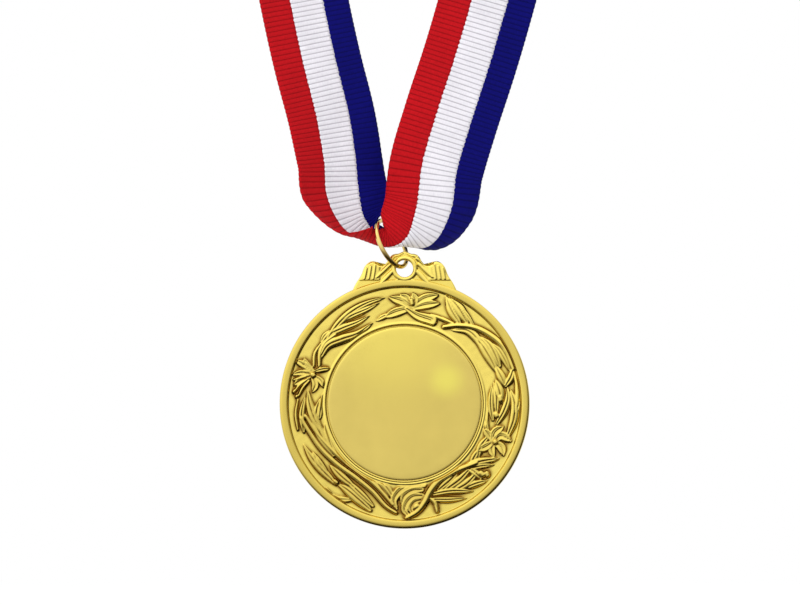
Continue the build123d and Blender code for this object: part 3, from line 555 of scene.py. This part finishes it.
def nearest_on_segment(x, z, start, end):
    """Place (0 to 1) of the nearest point of a segment, and the offset from that point."""
    run = end - start
    place = np.clip(((x - start[0]) * run[0] + (z - start[1]) * run[1]) / (run @ run), 0, 1)
    return place, x - start[0] - place * run[0], z - start[1] - place * run[1]


# ---- ribbon surface --------------------------------------------------------------------------
# s is the place along the ribbon, shape (n,); v is the place across it, shape (n, m).
WIRE_CLEARANCE = 1.26                         # ribbon's middle surface to the wire's centre line
WIRE_REACH = 6                                # the wire moves nothing further away than this


def round_the_wire(points):
    """Push points that come too near the ring's wire away from it."""
    offset = points - RING_CENTRE
    along_axis = (offset * AXIS).sum(-1)
    in_plane = offset - along_axis[..., None] * AXIS
    radius = np.linalg.norm(in_plane, axis=-1) + 1e-9
    beyond = radius - RING_R
    distance = np.hypot(beyond, along_axis) + 1e-9
    push = np.where(distance > WIRE_REACH, 0,
                    (distance**4 + WIRE_CLEARANCE**4) ** 0.25 / distance - 1)
    return (points + (beyond * push / radius)[..., None] * in_plane
            + (along_axis * push)[..., None] * AXIS)


def lip_offset(s, v):
    """Above the ring the red edge of the right strand comes over the blue edge of the left."""
    def lip(table, toward_edge):
        ease = np.clip((toward_edge - 0.12) / 0.38, 0, 1)
        return hermite(s, table[:, 0], table[:, 1:]) * ease**2 * (3 - 2 * ease)

    s = np.clip(s, -60, 60)
    red, blue = lip(RED_LIP, -v), lip(BLUE_LIP, v)
    return np.stack([blue - red, 0.2 * blue - 0.35 * red, 0.12 * blue], -1)


def ribbon(s, v):
    """Points of the ribbon's middle surface."""
    knots, stations = RIBBON_LINE[:, 0], RIBBON_LINE[:, 1:]
    at = hermite(s, knots, stations)
    along = hermite(s + 0.5, knots, stations)[:, :3] - hermite(s - 0.5, knots, stations)[:, :3]
    along /= np.linalg.norm(along, axis=1)[:, None]
    across = at[:, 3:6] - (at[:, 3:6] * along).sum(1)[:, None] * along
    across /= np.linalg.norm(across, axis=1)[:, None]
    normal = np.cross(along, across)
    curl, width, pleat = at[:, 6], at[:, 7], np.clip(at[:, 8], 0, None)
    curl_radius = (width / curl)[:, None]
    # the middle of the ribbon slides sideways where it passes through the ring
    slide = 0.5 * np.exp(-((s / 9.0) ** 2))[:, None] * (0.25 - v * v)
    angle = (v + slide) * curl[:, None]
    radius = curl_radius - pleat[:, None] * (0.5 + 0.5 * np.cos(8 * np.pi * v))
    sideways = radius * np.sin(angle)
    outward = curl_radius - radius * np.cos(angle)
    return round_the_wire(at[:, None, :3] + sideways[..., None] * across[:, None]
                          + outward[..., None] * normal[:, None] + lip_offset(s, v))


def ribbon_frame(s, v):
    """Middle surface, its step along the ribbon and its unit normal."""
    along = ribbon(s + 0.06, v) - ribbon(s - 0.06, v)
    across = ribbon(s, v + 0.003) - ribbon(s, v - 0.003)
    normal = np.cross(along, across)
    normal /= np.linalg.norm(normal, axis=2)[..., None]
    return ribbon(s, v), along, normal


def place_at_height(z, end):
    """Place along the ribbon where, going from the ring to this end, it first reaches z."""
    s = np.linspace(0, end, 4000)
    heights = hermite(s, RIBBON_LINE[:, 0], RIBBON_LINE[:, 1:4])[:, 2]
    return float(s[int(np.argmax(heights >= z))])


# ---- ribbon bands ----------------------------------------------------------------------------
COLOURS = ("red", "white", "blue")
RIB_STEPS_LOW, RIB_STEPS_UP = ((10, 6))
COLUMNS_LOW = {"red": 12, "white": 13, "blue": 11}
COLUMNS_UP = 6
JITTER_COUNT = 4096
JITTER = np.random.default_rng(7).uniform(-1, 1, JITTER_COUNT)


def tooth(s, seed):
    """Saw-tooth border between two colours, one tooth to a rib, never quite even."""
    k = np.floor(s / RIB_PITCH).astype(int)
    u = s / RIB_PITCH - k
    depth = 0.0048 + 0.002 * JITTER[(k + seed) % JITTER_COUNT]
    return (depth * (np.abs(2 * u - 1) * 2 - 1)
            + 0.002 * JITTER[(k * 3 + seed * 7) % JITTER_COUNT])


def rib(s):
    return np.abs(np.sin(math.pi * s / RIB_PITCH)) ** 0.7


def sheet_faces(rows, columns):
    """Closed slab: the two faces, then the two long sides, then the two ends."""
    count = rows * columns
    i, j = np.meshgrid(np.arange(rows - 1), np.arange(columns - 1), indexing="ij")
    p = (i * columns + j).ravel()
    low = np.arange(rows - 1) * columns
    high = low + columns - 1
    start = np.arange(columns - 1)
    end = start + (rows - 1) * columns
    return np.concatenate([np.stack(corners, 1) for corners in (
        (p, p + columns, p + columns + 1, p + 1),
        (p + count, p + 1 + count, p + columns + 1 + count, p + columns + count),
        (low, low + count, low + columns + count, low + columns),
        (high, high + columns, high + columns + count, high + count),
        (start, start + 1, start + 1 + count, start + count),
        (end, end + count, end + 1 + count, end + 1))])


def band(s, colour, columns, offset=0.0):
    """Closed woven band of one colour; offset moves each row along the surface normal."""
    scallop = 0.0035 * (rib(s) - 0.5)
    borders = (-0.5 - scallop, RED_TO + tooth(s, 11), WHITE_TO + tooth(s, 57), 0.5 + scallop)
    i = COLOURS.index(colour)
    low, high = borders[i], borders[i + 1]
    v = low[:, None] + (high - low)[:, None] * np.linspace(0, 1, columns + 1)[None]
    middle, _, normal = ribbon_frame(s, v)
    middle = middle + normal * np.reshape(offset, (-1, 1, 1))
    half = 0.130 + 0.115 * rib(s)[:, None] * np.ones_like(v)
    # the woven edge rounds off behind a slight thickening
    from_edge = np.minimum(np.abs(v + 0.5), np.abs(0.5 - v)) * RIBBON_W
    rounding = 0.42 + 0.58 * np.sqrt(np.clip(from_edge / 0.35, 0, 1))
    half = half * np.clip(rounding, 0, 1) + 0.03 * np.exp(-((from_edge - 0.45) / 0.3) ** 2)
    shell = normal * half[..., None]
    verts = np.concatenate([(middle + shell).reshape(-1, 3), (middle - shell).reshape(-1, 3)])
    along = np.repeat(s[:, None], v.shape[1], 1)
    uv = np.stack([v * RIBBON_W * MM, along * MM], -1).reshape(-1, 2)
    return verts, sheet_faces(*v.shape), np.concatenate([uv, uv])


def join(parts):
    """One mesh from several (verts, faces, uvs)."""
    verts, faces, uvs = zip(*parts)
    starts = np.cumsum([0] + [len(v) for v in verts[:-1]])
    return (np.concatenate(verts), np.concatenate([f + n for f, n in zip(faces, starts)]),
            np.concatenate(uvs))


def rows(start, end, per_rib):
    step = RIB_PITCH / per_rib
    return np.linspace(start, end, int(round((end - start) / step)) + 1)


def lower_ribbon(colour):
    s = rows(SPLIT_LEFT, SPLIT_RIGHT, RIB_STEPS_LOW)
    verts, faces, uvs = band(s, colour, COLUMNS_LOW[colour])
    return make_mesh("ribbon_lower_" + colour, verts, faces, [WEAVE[colour]], uvs=uvs)


def upper_ribbon(colour):
    """Both strands above the split, and the overlap that closes them at the nape."""
    left = rows(FIRST, SPLIT_LEFT, RIB_STEPS_UP)
    right = rows(SPLIT_RIGHT, LAST, RIB_STEPS_UP)
    lap = rows(FIRST, FIRST + LAP, RIB_STEPS_UP)
    ease = np.clip((right - (LAST - 12)) / 12, 0, 1)
    drop = ease * ease * (3 - 2 * ease) * LAP_DROP
    verts, faces, uvs = join([band(left, colour, COLUMNS_UP),
                              band(right, colour, COLUMNS_UP, offset=drop),
                              band(lap, colour, COLUMNS_UP, offset=LAP_DROP)])
    return make_mesh("ribbon_upper_" + colour, verts, faces, [WEAVE[colour]], uvs=uvs)


SPLIT_LEFT = place_at_height(SPLIT_Z, FIRST)
SPLIT_RIGHT = place_at_height(SPLIT_Z, LAST)
for colour in COLOURS:
    lower = lower_ribbon(colour)
    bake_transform(lower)
    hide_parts("ribbon_loop_" + colour)
    upper = upper_ribbon(colour)
    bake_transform(upper)
    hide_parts("front_strands_" + colour, "neck_band_" + colour)


# ---- medal disc ------------------------------------------------------------------------------
DISC_STEPS = 820
FIELD_RADII = np.arange(21.42, 30.18, 0.135)
# Profile of the disc as (radius, height), from the front centre round to the back centre.
POCKET_PROFILE = [                            # pocket floor, its wall and the bead around it
    (0.4, POCKET), (6, POCKET), (12, POCKET), (17, POCKET), (19.2, POCKET), (20.2, POCKET),
    (20.42, POCKET + 0.03), (20.5, POCKET + 0.12), (20.53, FIELD + 0.02), (20.60, FIELD + 0.10),
    (20.70, FIELD + 0.15), (20.84, FIELD + 0.17), (20.98, FIELD + 0.15), (21.12, FIELD + 0.09),
    (21.26, FIELD + 0.02)]
RIM_PROFILE = [
    (30.25, FIELD + 0.05), (30.32, FIELD + 0.3), (30.37, FIELD + 0.62), (30.46, TOP - 0.14),
    (30.6, TOP - 0.04), (30.8, TOP), (31.1, TOP), (31.5, TOP), (31.85, TOP - 0.02),
    (32.1, TOP - 0.08), (32.3, TOP - 0.22), (32.43, TOP - 0.42), (32.5, TOP - 0.7),
    (32.5, 0.25), (32.47, 0.0), (32.5, -0.25), (32.5, BOTTOM + 0.7), (32.43, BOTTOM + 0.42),
    (32.3, BOTTOM + 0.22), (32.1, BOTTOM + 0.08), (31.85, BOTTOM + 0.02), (31.3, BOTTOM),
    (30.9, BOTTOM), (30.68, BOTTOM + 0.05), (30.54, BOTTOM + 0.16), (30.47, BOTTOM + 0.34),
    (30.40, BACK - 0.03)]
BACK_PROFILE = [(r, BACK) for r in (30.2, 29.5, 28, 25.5, 22, 18, 13, 8, 3, 0.4)]


def half_width(kind, width, t):
    """Half width of a relief element at t, 0 to 1 along it."""
    if kind == "leaf":
        return 0.5 * width * np.clip(np.sin(math.pi * (0.10 + 0.88 * t)), 0, 1) ** 0.75 + 0.02
    if kind == "petal":
        taper = np.clip(np.sin(math.pi * (0.16 + 0.80 * t ** 1.25)), 0, 1) ** 0.7
        return 0.5 * width * taper + 0.02
    if kind == "trumpet":
        return 0.5 * width * (0.30 + 0.70 * t ** 0.8)
    if kind == "stem":
        return 0.5 * width * (0.72 + 0.28 * np.cos(math.pi * (t - 0.5)))
    return 0.5 * width * np.ones_like(t)


def cross_section(kind, width, t, distance, half, side, length):
    """Relative height of a relief element at a distance from its centre line."""
    q = np.clip(distance / half, 0, 1)
    if kind == "leaf":                        # a cut midrib, one half higher than the other
        shape = ((1 - q ** 4) ** 0.8 * (0.80 + 0.20 * side * q)
                 - 0.34 * np.exp(-(distance / 0.13) ** 2))
        shape *= 0.72 + 0.28 * np.sin(math.pi * np.clip(t, 0, 1))
        if width > 2.3:                       # side veins
            phase = (t * length * 2.2 - distance * 1.6) * 2 * math.pi / 0.9
            shape += 0.05 * np.sin(phase) * (1 - q)
    elif kind in ("petal", "trumpet"):        # dished, with fine lengthwise ripples
        shape = ((1 - q ** 6) ** 0.8 * (0.60 + 0.40 * q ** 2)
                 - 0.22 * np.exp(-(distance / 0.12) ** 2))
        if kind == "petal":
            shape *= 0.70 + 0.30 * t
        shape += 0.05 * np.sin(distance * 2 * math.pi / 0.62) * (1 - q)
    elif kind == "stem":                      # round, with a groove on each side
        shape = (np.sqrt(np.clip(1 - q ** 2.4, 0, 1))
                 - 0.14 * np.exp(-((distance - 0.42 * half) / 0.09) ** 2))
    else:
        shape = np.sqrt(np.clip(1 - q ** 2, 0, 1))
    return np.where(distance < half, shape, 0)


def relief(x, z):
    """Height of the relief above the field."""
    heights = np.zeros_like(x)
    for kind, width, height, points in RELIEF:
        line = smooth_line(points, 6 * len(points) + 4)
        reach = width * 0.7 + 0.2
        low, high = line.min(0) - reach, line.max(0) + reach
        near = np.nonzero((x > low[0]) & (x < high[0]) & (z > low[1]) & (z < high[1]))[0]
        distance = np.full(len(near), 1e9)
        t, side = np.zeros(len(near)), np.zeros(len(near))
        length = running_length(line)
        for k in range(len(line) - 1):
            run = line[k + 1] - line[k]
            place, dx, dz = nearest_on_segment(x[near], z[near], line[k], line[k + 1])
            d = np.hypot(dx, dz)
            closer = d < distance
            distance[closer] = d[closer]
            t[closer] = ((length[k] + place * (length[k + 1] - length[k])) / length[-1])[closer]
            side[closer] = np.sign(run[0] * dz - run[1] * dx)[closer]
        half = half_width(kind, width, t)
        shape = cross_section(kind, width, t, distance, half, side, length[-1])
        heights[near] = np.maximum(heights[near], np.clip(shape, 0, 1.1) * height)
    return heights


def smoothed(heights):
    """Field heights averaged with their neighbours round and across the ring."""
    for _ in range(14):
        heights = (heights + np.roll(heights, 1, 1) + np.roll(heights, -1, 1)) / 3
        inner = (heights[:-2] + heights[1:-1] + heights[2:]) / 3
        heights = np.concatenate([heights[:1], inner, heights[-1:]])
    return heights


def field_painted_shade(field, raised, z, angle):
    """Painted shade on the relief: in hollows, on steep flanks, more towards the lower left, and
    on raised parts more towards the bottom.
    """
    step = 2 * (2 * math.pi / DISC_STEPS) * FIELD_RADII[:, None]
    slope = np.hypot(np.gradient(field, FIELD_RADII, axis=0),
                     (np.roll(field, -1, 1) - np.roll(field, 1, 1)) / step)
    painted_shade = (np.clip((smoothed(field) - field - 0.02) / 0.16, 0, 1) * 0.70
              + np.clip((slope - 0.5) / 1.6, 0, 1) * 0.45)
    # painted shade by direction: darker towards the lower left; on raised parts darker towards the
    # bottom
    painted_shade += 0.07 + 0.06 * np.clip(-np.cos(angle - 0.6), -0.8, 1)[None]
    return painted_shade + 0.20 * np.clip(raised / 0.35, 0, 1) * np.clip(0.62 - z / 45, 0, 1)


def medal_disc():
    field_profile = [(r, FIELD) for r in FIELD_RADII]
    profile = np.array(POCKET_PROFILE + field_profile + RIM_PROFILE + BACK_PROFILE)
    radius, level = profile.T
    angle = circle(DISC_STEPS)
    heights = level[:, None] * np.ones(DISC_STEPS)[None]
    field = slice(len(POCKET_PROFILE), len(POCKET_PROFILE) + len(FIELD_RADII))

    x, z = FIELD_RADII[:, None] * np.cos(angle), FIELD_RADII[:, None] * np.sin(angle)
    raised = relief(x.ravel(), z.ravel()).reshape(x.shape)
    fade = (np.clip((FIELD_RADII - 21.3) / 0.5, 0, 1)
            * np.clip((30.22 - FIELD_RADII) / 0.35, 0, 1))[:, None]
    unevenness = (0.007 * np.sin(x * 1.9 + 1.3 * np.sin(z * 1.1))
                  * np.cos(z * 1.7 + 0.7 * np.sin(x * 1.5)))
    heights[field] += np.minimum(raised, 0.98) * fade + unevenness * fade

    # painted shade: in the field's hollows and on its flanks, on the pocket wall, at the feet of
    # the bead and the rim, and a little on the rim's front, more to its left
    painted_shade = np.zeros(heights.shape)
    painted_shade[field] = field_painted_shade(heights[field], raised, z, angle)
    front = level > 0
    painted_shade[(radius > 20.35) & (radius < 20.56) & (level < FIELD + 0.03)] = 0.8   # pocket wall
    painted_shade[(radius > 21.1) & (radius < 21.35)] = 0.12                            # foot of bead
    painted_shade[(radius > 30.1) & (radius < 30.36) & front] = 0.75                    # foot of rim
    painted_shade[(radius > 30.45) & front] = 0.26 + 0.03 * np.clip(-np.cos(angle), 0, 1)

    verts, quads, tris = revolve(radius, heights, DISC_STEPS)
    back_row = len(profile) - len(BACK_PROFILE) - 1
    is_back = (np.arange(len(profile) - 1) >= back_row).astype(int)
    face_material = np.concatenate([np.repeat(is_back, DISC_STEPS),
                                    np.repeat([0, 1], DISC_STEPS)])
    disc = make_mesh("medal_disc", verts, quads, [CAST_GOLD, BACK_GOLD], tris=tris,
                     face_material=face_material)
    # the painted shade goes to the gold shader as a point attribute
    attribute = disc.data.attributes.new("painted_shade", "FLOAT", "POINT")
    values = np.concatenate([np.clip(painted_shade, 0, 1).ravel(), [0, 0]])
    attribute.data.foreach_set("value", values.astype(np.float32))
    return disc


# ---- lug -------------------------------------------------------------------------------------
# Right half of the outline (x, z), from the disc's edge up to the top.
LUG_HALF = [
    (14.05, 27.98), (13.75, 28.8), (13.2, 30.2), (12.4, 31.7), (11.6, 32.9), (11.1, 33.9),
    (10.7, 35.0), (10.2, 35.9), (9.5, 36.6), (8.7, 37.0), (7.9, 37.0), (7.2, 36.5), (6.5, 36.0),
    (5.7, 35.95), (5.0, 36.4), (4.4, 37.1), (3.9, 38.0), (3.2, 38.7), (2.4, 38.95), (1.7, 39.0),
    (1.0, 39.3), (0.5, 39.5)]
LUG_HALF_T = 1.25
LUG_FOOT_R = 31.3                             # the foot is an arc hidden in the disc's rim
LUG_OUTLINE_STEPS, LUG_ROWS = ((520, 60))
# Raised strokes (start, end, width, height): on both front shoulders, given for the right one.
FRONT_STROKES = [
    ((3.0, 34.6), (6.2, 31.2), 1.5, 0.42), ((3.6, 36.3), (7.2, 32.9), 1.3, 0.40),
    ((3.1, 37.8), (5.4, 36.4), 1.3, 0.42), ((1.9, 32.2), (4.3, 30.6), 1.2, 0.36),
    ((0.7, 39.2), (2.9, 38.3), 1.1, 0.36)]
FRONT_STROKES += [((7.6 + 1.15 * k, 36.3 - 0.55 * k), (7.6 + 1.15 * k + 0.55, 32.5), 0.95, 0.42)
                  for k in range(4)]
# diagonal ridges on the back, on the -X shoulder only
BACK_STROKES = [((-(6.0 + 1.15 * k), 36.6 - 0.45 * k), (-(6.0 + 1.15 * k) - 0.9, 31.6), 0.85, 0.28)
                for k in range(6)]


def stroke(x, z, start, end, width, height):
    place, dx, dz = nearest_on_segment(x, z, np.array(start), np.array(end))
    half = 0.5 * width * (0.55 + 0.45 * np.sin(math.pi * (0.15 + 0.75 * place)))
    return height * (1 - np.clip(np.hypot(dx, dz) / half, 0, 1) ** 2) ** 0.75


def collar(from_hole, half, height):
    """Rounded ring about the hole."""
    return height * np.sqrt(np.clip(1 - ((from_hole - 2.75) / half) ** 2, 0, 1))


def rounding(distance, reach, depth):
    """Quarter-round fall of the surface next to an edge."""
    inward = np.clip(distance / reach, 0, 1)
    return depth * (1 - np.sqrt(np.clip(1 - (1 - inward) ** 2, 0, 1)))


def lug_front(x, z, from_hole):
    """Front ornament: raised shoulders with a groove below, strokes and a collar."""
    out = np.abs(x)
    front = 0.22 * np.clip((z - 31.9) / 0.25, 0, 1) * np.clip((out - 6.2) / 0.5, 0, 1)
    front -= (0.16 * np.exp(-((z - 31.9) / 0.16) ** 2)
              * np.clip((out - 5.4) / 0.4, 0, 1) * np.clip((12.6 - out) / 0.3, 0, 1))
    for mirror in (-1, 1):
        for shape in FRONT_STROKES:
            front = np.maximum(front, stroke(x * mirror, z, *shape))
    return np.maximum(front * np.clip((from_hole - 2.9) / 0.35, 0, 1),
                      collar(from_hole, half=0.62, height=0.46))


def lug_back(x, z, from_hole):
    back = np.zeros_like(x)
    for shape in BACK_STROKES:
        back = np.maximum(back, stroke(x, z, *shape))
    return np.maximum(back, collar(from_hole, half=0.6, height=0.42))


def medal_lug():
    """Two height maps on rows running from the hole out to the outline, closed to a solid."""
    outline = smooth_line(LUG_HALF + [(-x, z) for x, z in reversed(LUG_HALF)], LUG_OUTLINE_STEPS)
    corner_x, corner_z = LUG_HALF[0]
    foot = np.linspace(math.atan2(corner_z, -corner_x), math.atan2(corner_z, corner_x),
                       LUG_OUTLINE_STEPS // 2 + 2)[1:-1]
    border = np.concatenate(
        [outline, np.stack([LUG_FOOT_R * np.cos(foot), LUG_FOOT_R * np.sin(foot)], 1)])
    hole = np.array([0.0, HOLE_Z])
    spoke = border - hole
    angle = np.arctan2(spoke[:, 1], spoke[:, 0])
    inner = hole + HOLE_R * np.stack([np.cos(angle), np.sin(angle)], 1)
    grid = inner[None] + (border - inner)[None] * np.linspace(0, 1, LUG_ROWS)[:, None, None]
    x, z = grid[..., 0], grid[..., 1]

    from_edge = np.full(x.shape, 1e9)
    for start, end in zip(outline[:-1], outline[1:]):
        _, dx, dz = nearest_on_segment(x, z, start, end)
        from_edge = np.minimum(from_edge, np.hypot(dx, dz))
    from_hole = np.hypot(x - hole[0], z - hole[1])
    fall = (rounding(from_edge, reach=0.45, depth=0.42)
            + rounding(from_hole - HOLE_R, reach=0.25, depth=0.18))
    fade = np.clip(from_edge / 0.6, 0, 1)
    front = LUG_HALF_T + lug_front(x, z, from_hole) * fade - fall
    back = -LUG_HALF_T - lug_back(x, z, from_hole) * fade + fall

    verts = np.concatenate([np.stack([x, -front, z], -1).reshape(-1, 3),
                            np.stack([x, -back, z], -1).reshape(-1, 3)])
    count, columns = x.size, len(border)
    face = tube_quads(LUG_ROWS, columns)
    j = np.arange(columns)
    after = (j + 1) % columns
    last = (LUG_ROWS - 1) * columns
    quads = np.concatenate([
        face, face[:, [0, 3, 2, 1]] + count,
        np.stack([j, after, after + count, j + count], 1),
        np.stack([last + j, last + j + count, last + after + count, last + after], 1)])
    return make_mesh("medal_lug", verts, quads, [CAST_GOLD])


disc = medal_disc()
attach(disc, "medal")
lug = medal_lug()
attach(lug, "medal")
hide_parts("medal_body")


# ---- centre insert ---------------------------------------------------------------------------
def centre_insert():
    """Thin plate with a turned-over edge, lying in the pocket."""
    top = POCKET + INSERT_GAP + INSERT_T
    # radius, depth below the top
    profile = np.array([
        (0.3, 0), (5, 0), (10, 0), (15, 0), (18, 0), (19.3, 0), (19.7, 0.02), (19.88, 0.07),
        (19.97, 0.16), (20.0, 0.28), (20.0, 0.42), (19.9, INSERT_T), (15, INSERT_T),
        (8, INSERT_T), (0.3, INSERT_T)])
    verts, quads, tris = revolve(profile[:, 0], top - profile[:, 1:], 360)
    return make_mesh("centre_insert_plate", verts, quads, [INSERT_GOLD], tris=tris,
                     face_material=0)


insert = centre_insert()
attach(insert, "medal")
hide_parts("centre_insert")


# ---- jump ring -------------------------------------------------------------------------------
def jump_ring():
    """Round wire with a butt joint; the wire narrows a little at its two ends."""
    half_gap = math.radians(0.6)
    steps, sides = ((260, 28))
    turn = np.linspace(half_gap, 2 * math.pi - half_gap, steps)
    radial = SIDE * np.cos(turn)[:, None] + UP * np.sin(turn)[:, None]
    from_end = np.minimum(np.arange(steps), np.arange(steps)[::-1])
    wire = (WIRE_R * (1 - 0.16 * np.clip(1 - from_end / 2.0, 0, None) ** 2))[:, None]
    around = 2 * math.pi * np.arange(sides) / sides
    verts = (RING_CENTRE + radial[:, None] * (RING_R + wire * np.cos(around))[..., None]
             + AXIS * (wire * np.sin(around))[..., None]).reshape(-1, 3)
    verts = np.concatenate([verts, RING_CENTRE + radial[[0, -1]] * RING_R])
    tris = np.hstack(end_fans(steps, sides)).reshape(-1, 3)
    return make_mesh("jump_ring_wire", verts, tube_quads(steps, sides), [WIRE_GOLD], tris=tris,
                     face_material=0)


ring = jump_ring()
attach(ring, "jump_ring")
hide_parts("jump_ring")

# ---- adhesive: the CAD piece itself, in foam -------------------------------------------------
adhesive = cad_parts["insert_adhesive"].data
adhesive.materials.clear()
adhesive.materials.append(FOAM)


# ---- seam stitches ---------------------------------------------------------------------------
STITCH_ROWS = (3.0, LAP - 2.5)                # from the start of the ribbon
STITCH_PLACES = np.linspace(-0.44, 0.44, 9)   # across the ribbon
STITCH_HALF = 0.95
STITCH_STEPS, STITCH_SIDES = 22, 12


def stitch(row, place):
    """One twisted thread across the ribbon, nearer the cloth at both ends."""
    x = np.linspace(-1, 1, STITCH_STEPS)
    v = place + np.linspace(-STITCH_HALF, STITCH_HALF, STITCH_STEPS) / RIBBON_W
    middle, along, normal = (a[0] for a in ribbon_frame(np.array([FIRST + row]), v[None]))
    along = along / np.linalg.norm(along, axis=1)[:, None]
    lift = 0.80 + 0.10 * np.sqrt(np.clip(1 - x ** 4, 0, 1)) - 0.10 * (np.abs(x) > 0.9)
    centre = middle - normal * lift[:, None]
    radius = 0.17 * np.clip(1.15 - x ** 6 * 0.5, 0, 1)
    around = 2 * math.pi * np.arange(STITCH_SIDES) / STITCH_SIDES
    twist = np.arange(STITCH_STEPS)[:, None] * 1.1
    thread = radius[:, None] * (1 + 0.12 * np.cos(2 * around + twist))
    verts = (centre[:, None] + along[:, None] * (thread * np.cos(around))[..., None]
             + normal[:, None] * (thread * np.sin(around))[..., None]).reshape(-1, 3)
    uvs = [(k / STITCH_SIDES * 0.001, i * 0.0001)
           for i in range(STITCH_STEPS) for k in range(STITCH_SIDES)]
    start = np.arange(STITCH_SIDES)
    end = (start + (STITCH_STEPS - 1) * STITCH_SIDES)[::-1]
    caps = [(loop[0], loop[k], loop[k + 1], loop[k + 2])
            for loop in (start, end) for k in range(1, STITCH_SIDES - 2, 2)]
    return verts, np.concatenate([tube_quads(STITCH_STEPS, STITCH_SIDES), caps]), uvs


verts, faces, uvs = join([stitch(row, place) for row in STITCH_ROWS for place in STITCH_PLACES])
stitches = make_mesh("seam_stitch_thread", verts, faces, [THREAD], uvs=uvs)
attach(stitches, "neck_band")
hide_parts("seam_stitches")


# ---- floor, metres ---------------------------------------------------------------------------
def floor_material():
    """Pale floor that turns into plain white light further out."""
    material, tree = new_material("pale_floor")
    position = add(tree, "TexCoord").outputs["Object"]
    distance = add(tree, "VectorMath", {0: position}, operation="LENGTH").outputs["Value"]
    fade = map_range(tree, distance, {"From Min": 0.35, "From Max": 1.1},
                     interpolation_type="SMOOTHSTEP")
    cloud = noise(tree, position, scale=40.0, detail=3.0)
    colour = ramp(tree, cloud, [(0.3, grey(0.86)), (0.7, grey(0.90))])
    near = add(tree, "BsdfPrincipled", {"Base Color": colour, "Roughness": 0.9})
    far = add(tree, "Emission", {"Color": (1, 1, 1, 1), "Strength": 1.0})
    both = add(tree, "MixShader", {0: fade, 1: near.outputs[0], 2: far.outputs[0]})
    add(tree, "OutputMaterial", {"Surface": both.outputs[0]})
    return material


bpy.ops.mesh.primitive_circle_add(vertices=128, radius=3.0, fill_type="NGON",
                                  location=(0, 0.05, -0.095))
floor = bpy.context.object
floor.name = "studio_floor"
floor.data.materials.append(floor_material())
floor.visible_glossy = False

# ---- world -----------------------------------------------------------------------------------
LIGHT_FROM = Vector((-0.42, -0.22, 0.88)).normalized()     # upper left, a little in front
# Room brightness, from facing away from the light (0) to facing it (1).
ROOM_STOPS = [
    (0.0, (0.02, 0.018, 0.015)), (0.28, (0.04, 0.033, 0.025)), (0.44, (0.32, 0.30, 0.27)),
    (0.54, (0.76, 0.75, 0.73)), (0.62, (1.02, 1.02, 1.01)), (0.74, (1.22, 1.22, 1.19)),
    (0.95, (1.40, 1.40, 1.38)), (1.0, (1.85, 1.85, 1.82))]


def mirrored_room(tree):
    """What the metal mirrors: the lit room, with a pale backdrop behind the medal."""
    direction = add(tree, "TexCoord").outputs["Generated"]
    facing = add(tree, "VectorMath", {0: direction, 1: LIGHT_FROM}, operation="DOT_PRODUCT")
    place = map_range(tree, facing.outputs["Value"], {"From Min": -1.0, "From Max": 1.0})
    room = ramp(tree, place, ROOM_STOPS)
    axes = add(tree, "SeparateXYZ", {0: direction})
    behind = map_range(tree, axes.outputs["Y"], {"From Min": 0.20, "From Max": 0.55},
                       interpolation_type="SMOOTHSTEP")
    above = map_range(tree, axes.outputs["Z"], {"From Min": -0.65, "From Max": -0.30},
                      interpolation_type="SMOOTHSTEP")
    backdrop = add(tree, "Math", {0: behind, 1: above}, operation="MULTIPLY").outputs[0]
    return mix(tree, backdrop, room, (0.95, 0.95, 0.94, 1))


def background(tree, colour, strength):
    return add(tree, "Background", {"Color": colour, "Strength": strength}).outputs[0]


def build_world():
    """White to the camera, a room to mirror rays, soft white light to all others."""
    world = bpy.data.worlds.new("studio")
    bpy.context.scene.world = world
    world.use_nodes = True
    tree = world.node_tree
    tree.nodes.clear()
    rays = add(tree, "LightPath").outputs
    lighting = add(tree, "MixShader", {
        0: rays["Is Glossy Ray"],
        1: background(tree, (1, 1, 1, 1), strength=0.55),
        2: background(tree, mirrored_room(tree), strength=1.0)})
    seen = add(tree, "MixShader", {
        0: rays["Is Camera Ray"],
        1: lighting.outputs[0],
        2: background(tree, (1, 1, 1, 1), strength=1.0)})
    add(tree, "OutputWorld", {"Surface": seen.outputs[0]})


build_world()


# ---- lights and camera, metres ---------------------------------------------------------------
def area(name, location, target, size, power):
    light = bpy.data.lights.new(name, "AREA")
    light.shape = "RECTANGLE"
    light.size, light.size_y = size
    light.energy = power
    lamp = bpy.data.objects.new(name, light)
    lamp.location = location
    aim = Vector(target) - Vector(location)
    lamp.rotation_euler = aim.to_track_quat("-Z", "Y").to_euler()
    bpy.context.scene.collection.objects.link(lamp)
    lamp.visible_glossy = False               # the metal mirrors the room, not the lamps


area("key", location=(-0.75, -1.05, 1.05), target=(0, 0, 0.08), size=(0.9, 0.7), power=20.0)
area("fill", location=(1.1, -1.2, 0.25), target=(0, 0, 0.08), size=(0.9, 1.1), power=8.0)
area("top", location=(0.0, 0.15, 1.5), target=(0, 0, 0.1), size=(1.4, 1.0), power=10.0)
area("back", location=(0.5, 1.3, 0.7), target=(0, 0, 0.12), size=(1.0, 1.0), power=12.0)

CAMERA_DISTANCE = 1.7
VIEW_WIDTH = 0.208                            # width in view at y = 0
SENSOR = 36.0                                 # mm
lens = bpy.data.cameras.new("photo_camera")
camera = bpy.data.objects.new("photo_camera", lens)
bpy.context.scene.collection.objects.link(camera)
lens.sensor_width = SENSOR
lens.lens = SENSOR * CAMERA_DISTANCE / VIEW_WIDTH
camera.location = (-0.0012, -CAMERA_DISTANCE, 0.0263)
camera.rotation_euler = (math.radians(90), 0, 0)
lens.clip_start, lens.clip_end = 0.01, 20
bpy.context.scene.camera = camera
bpy.context.scene.view_settings.view_transform = "Standard"
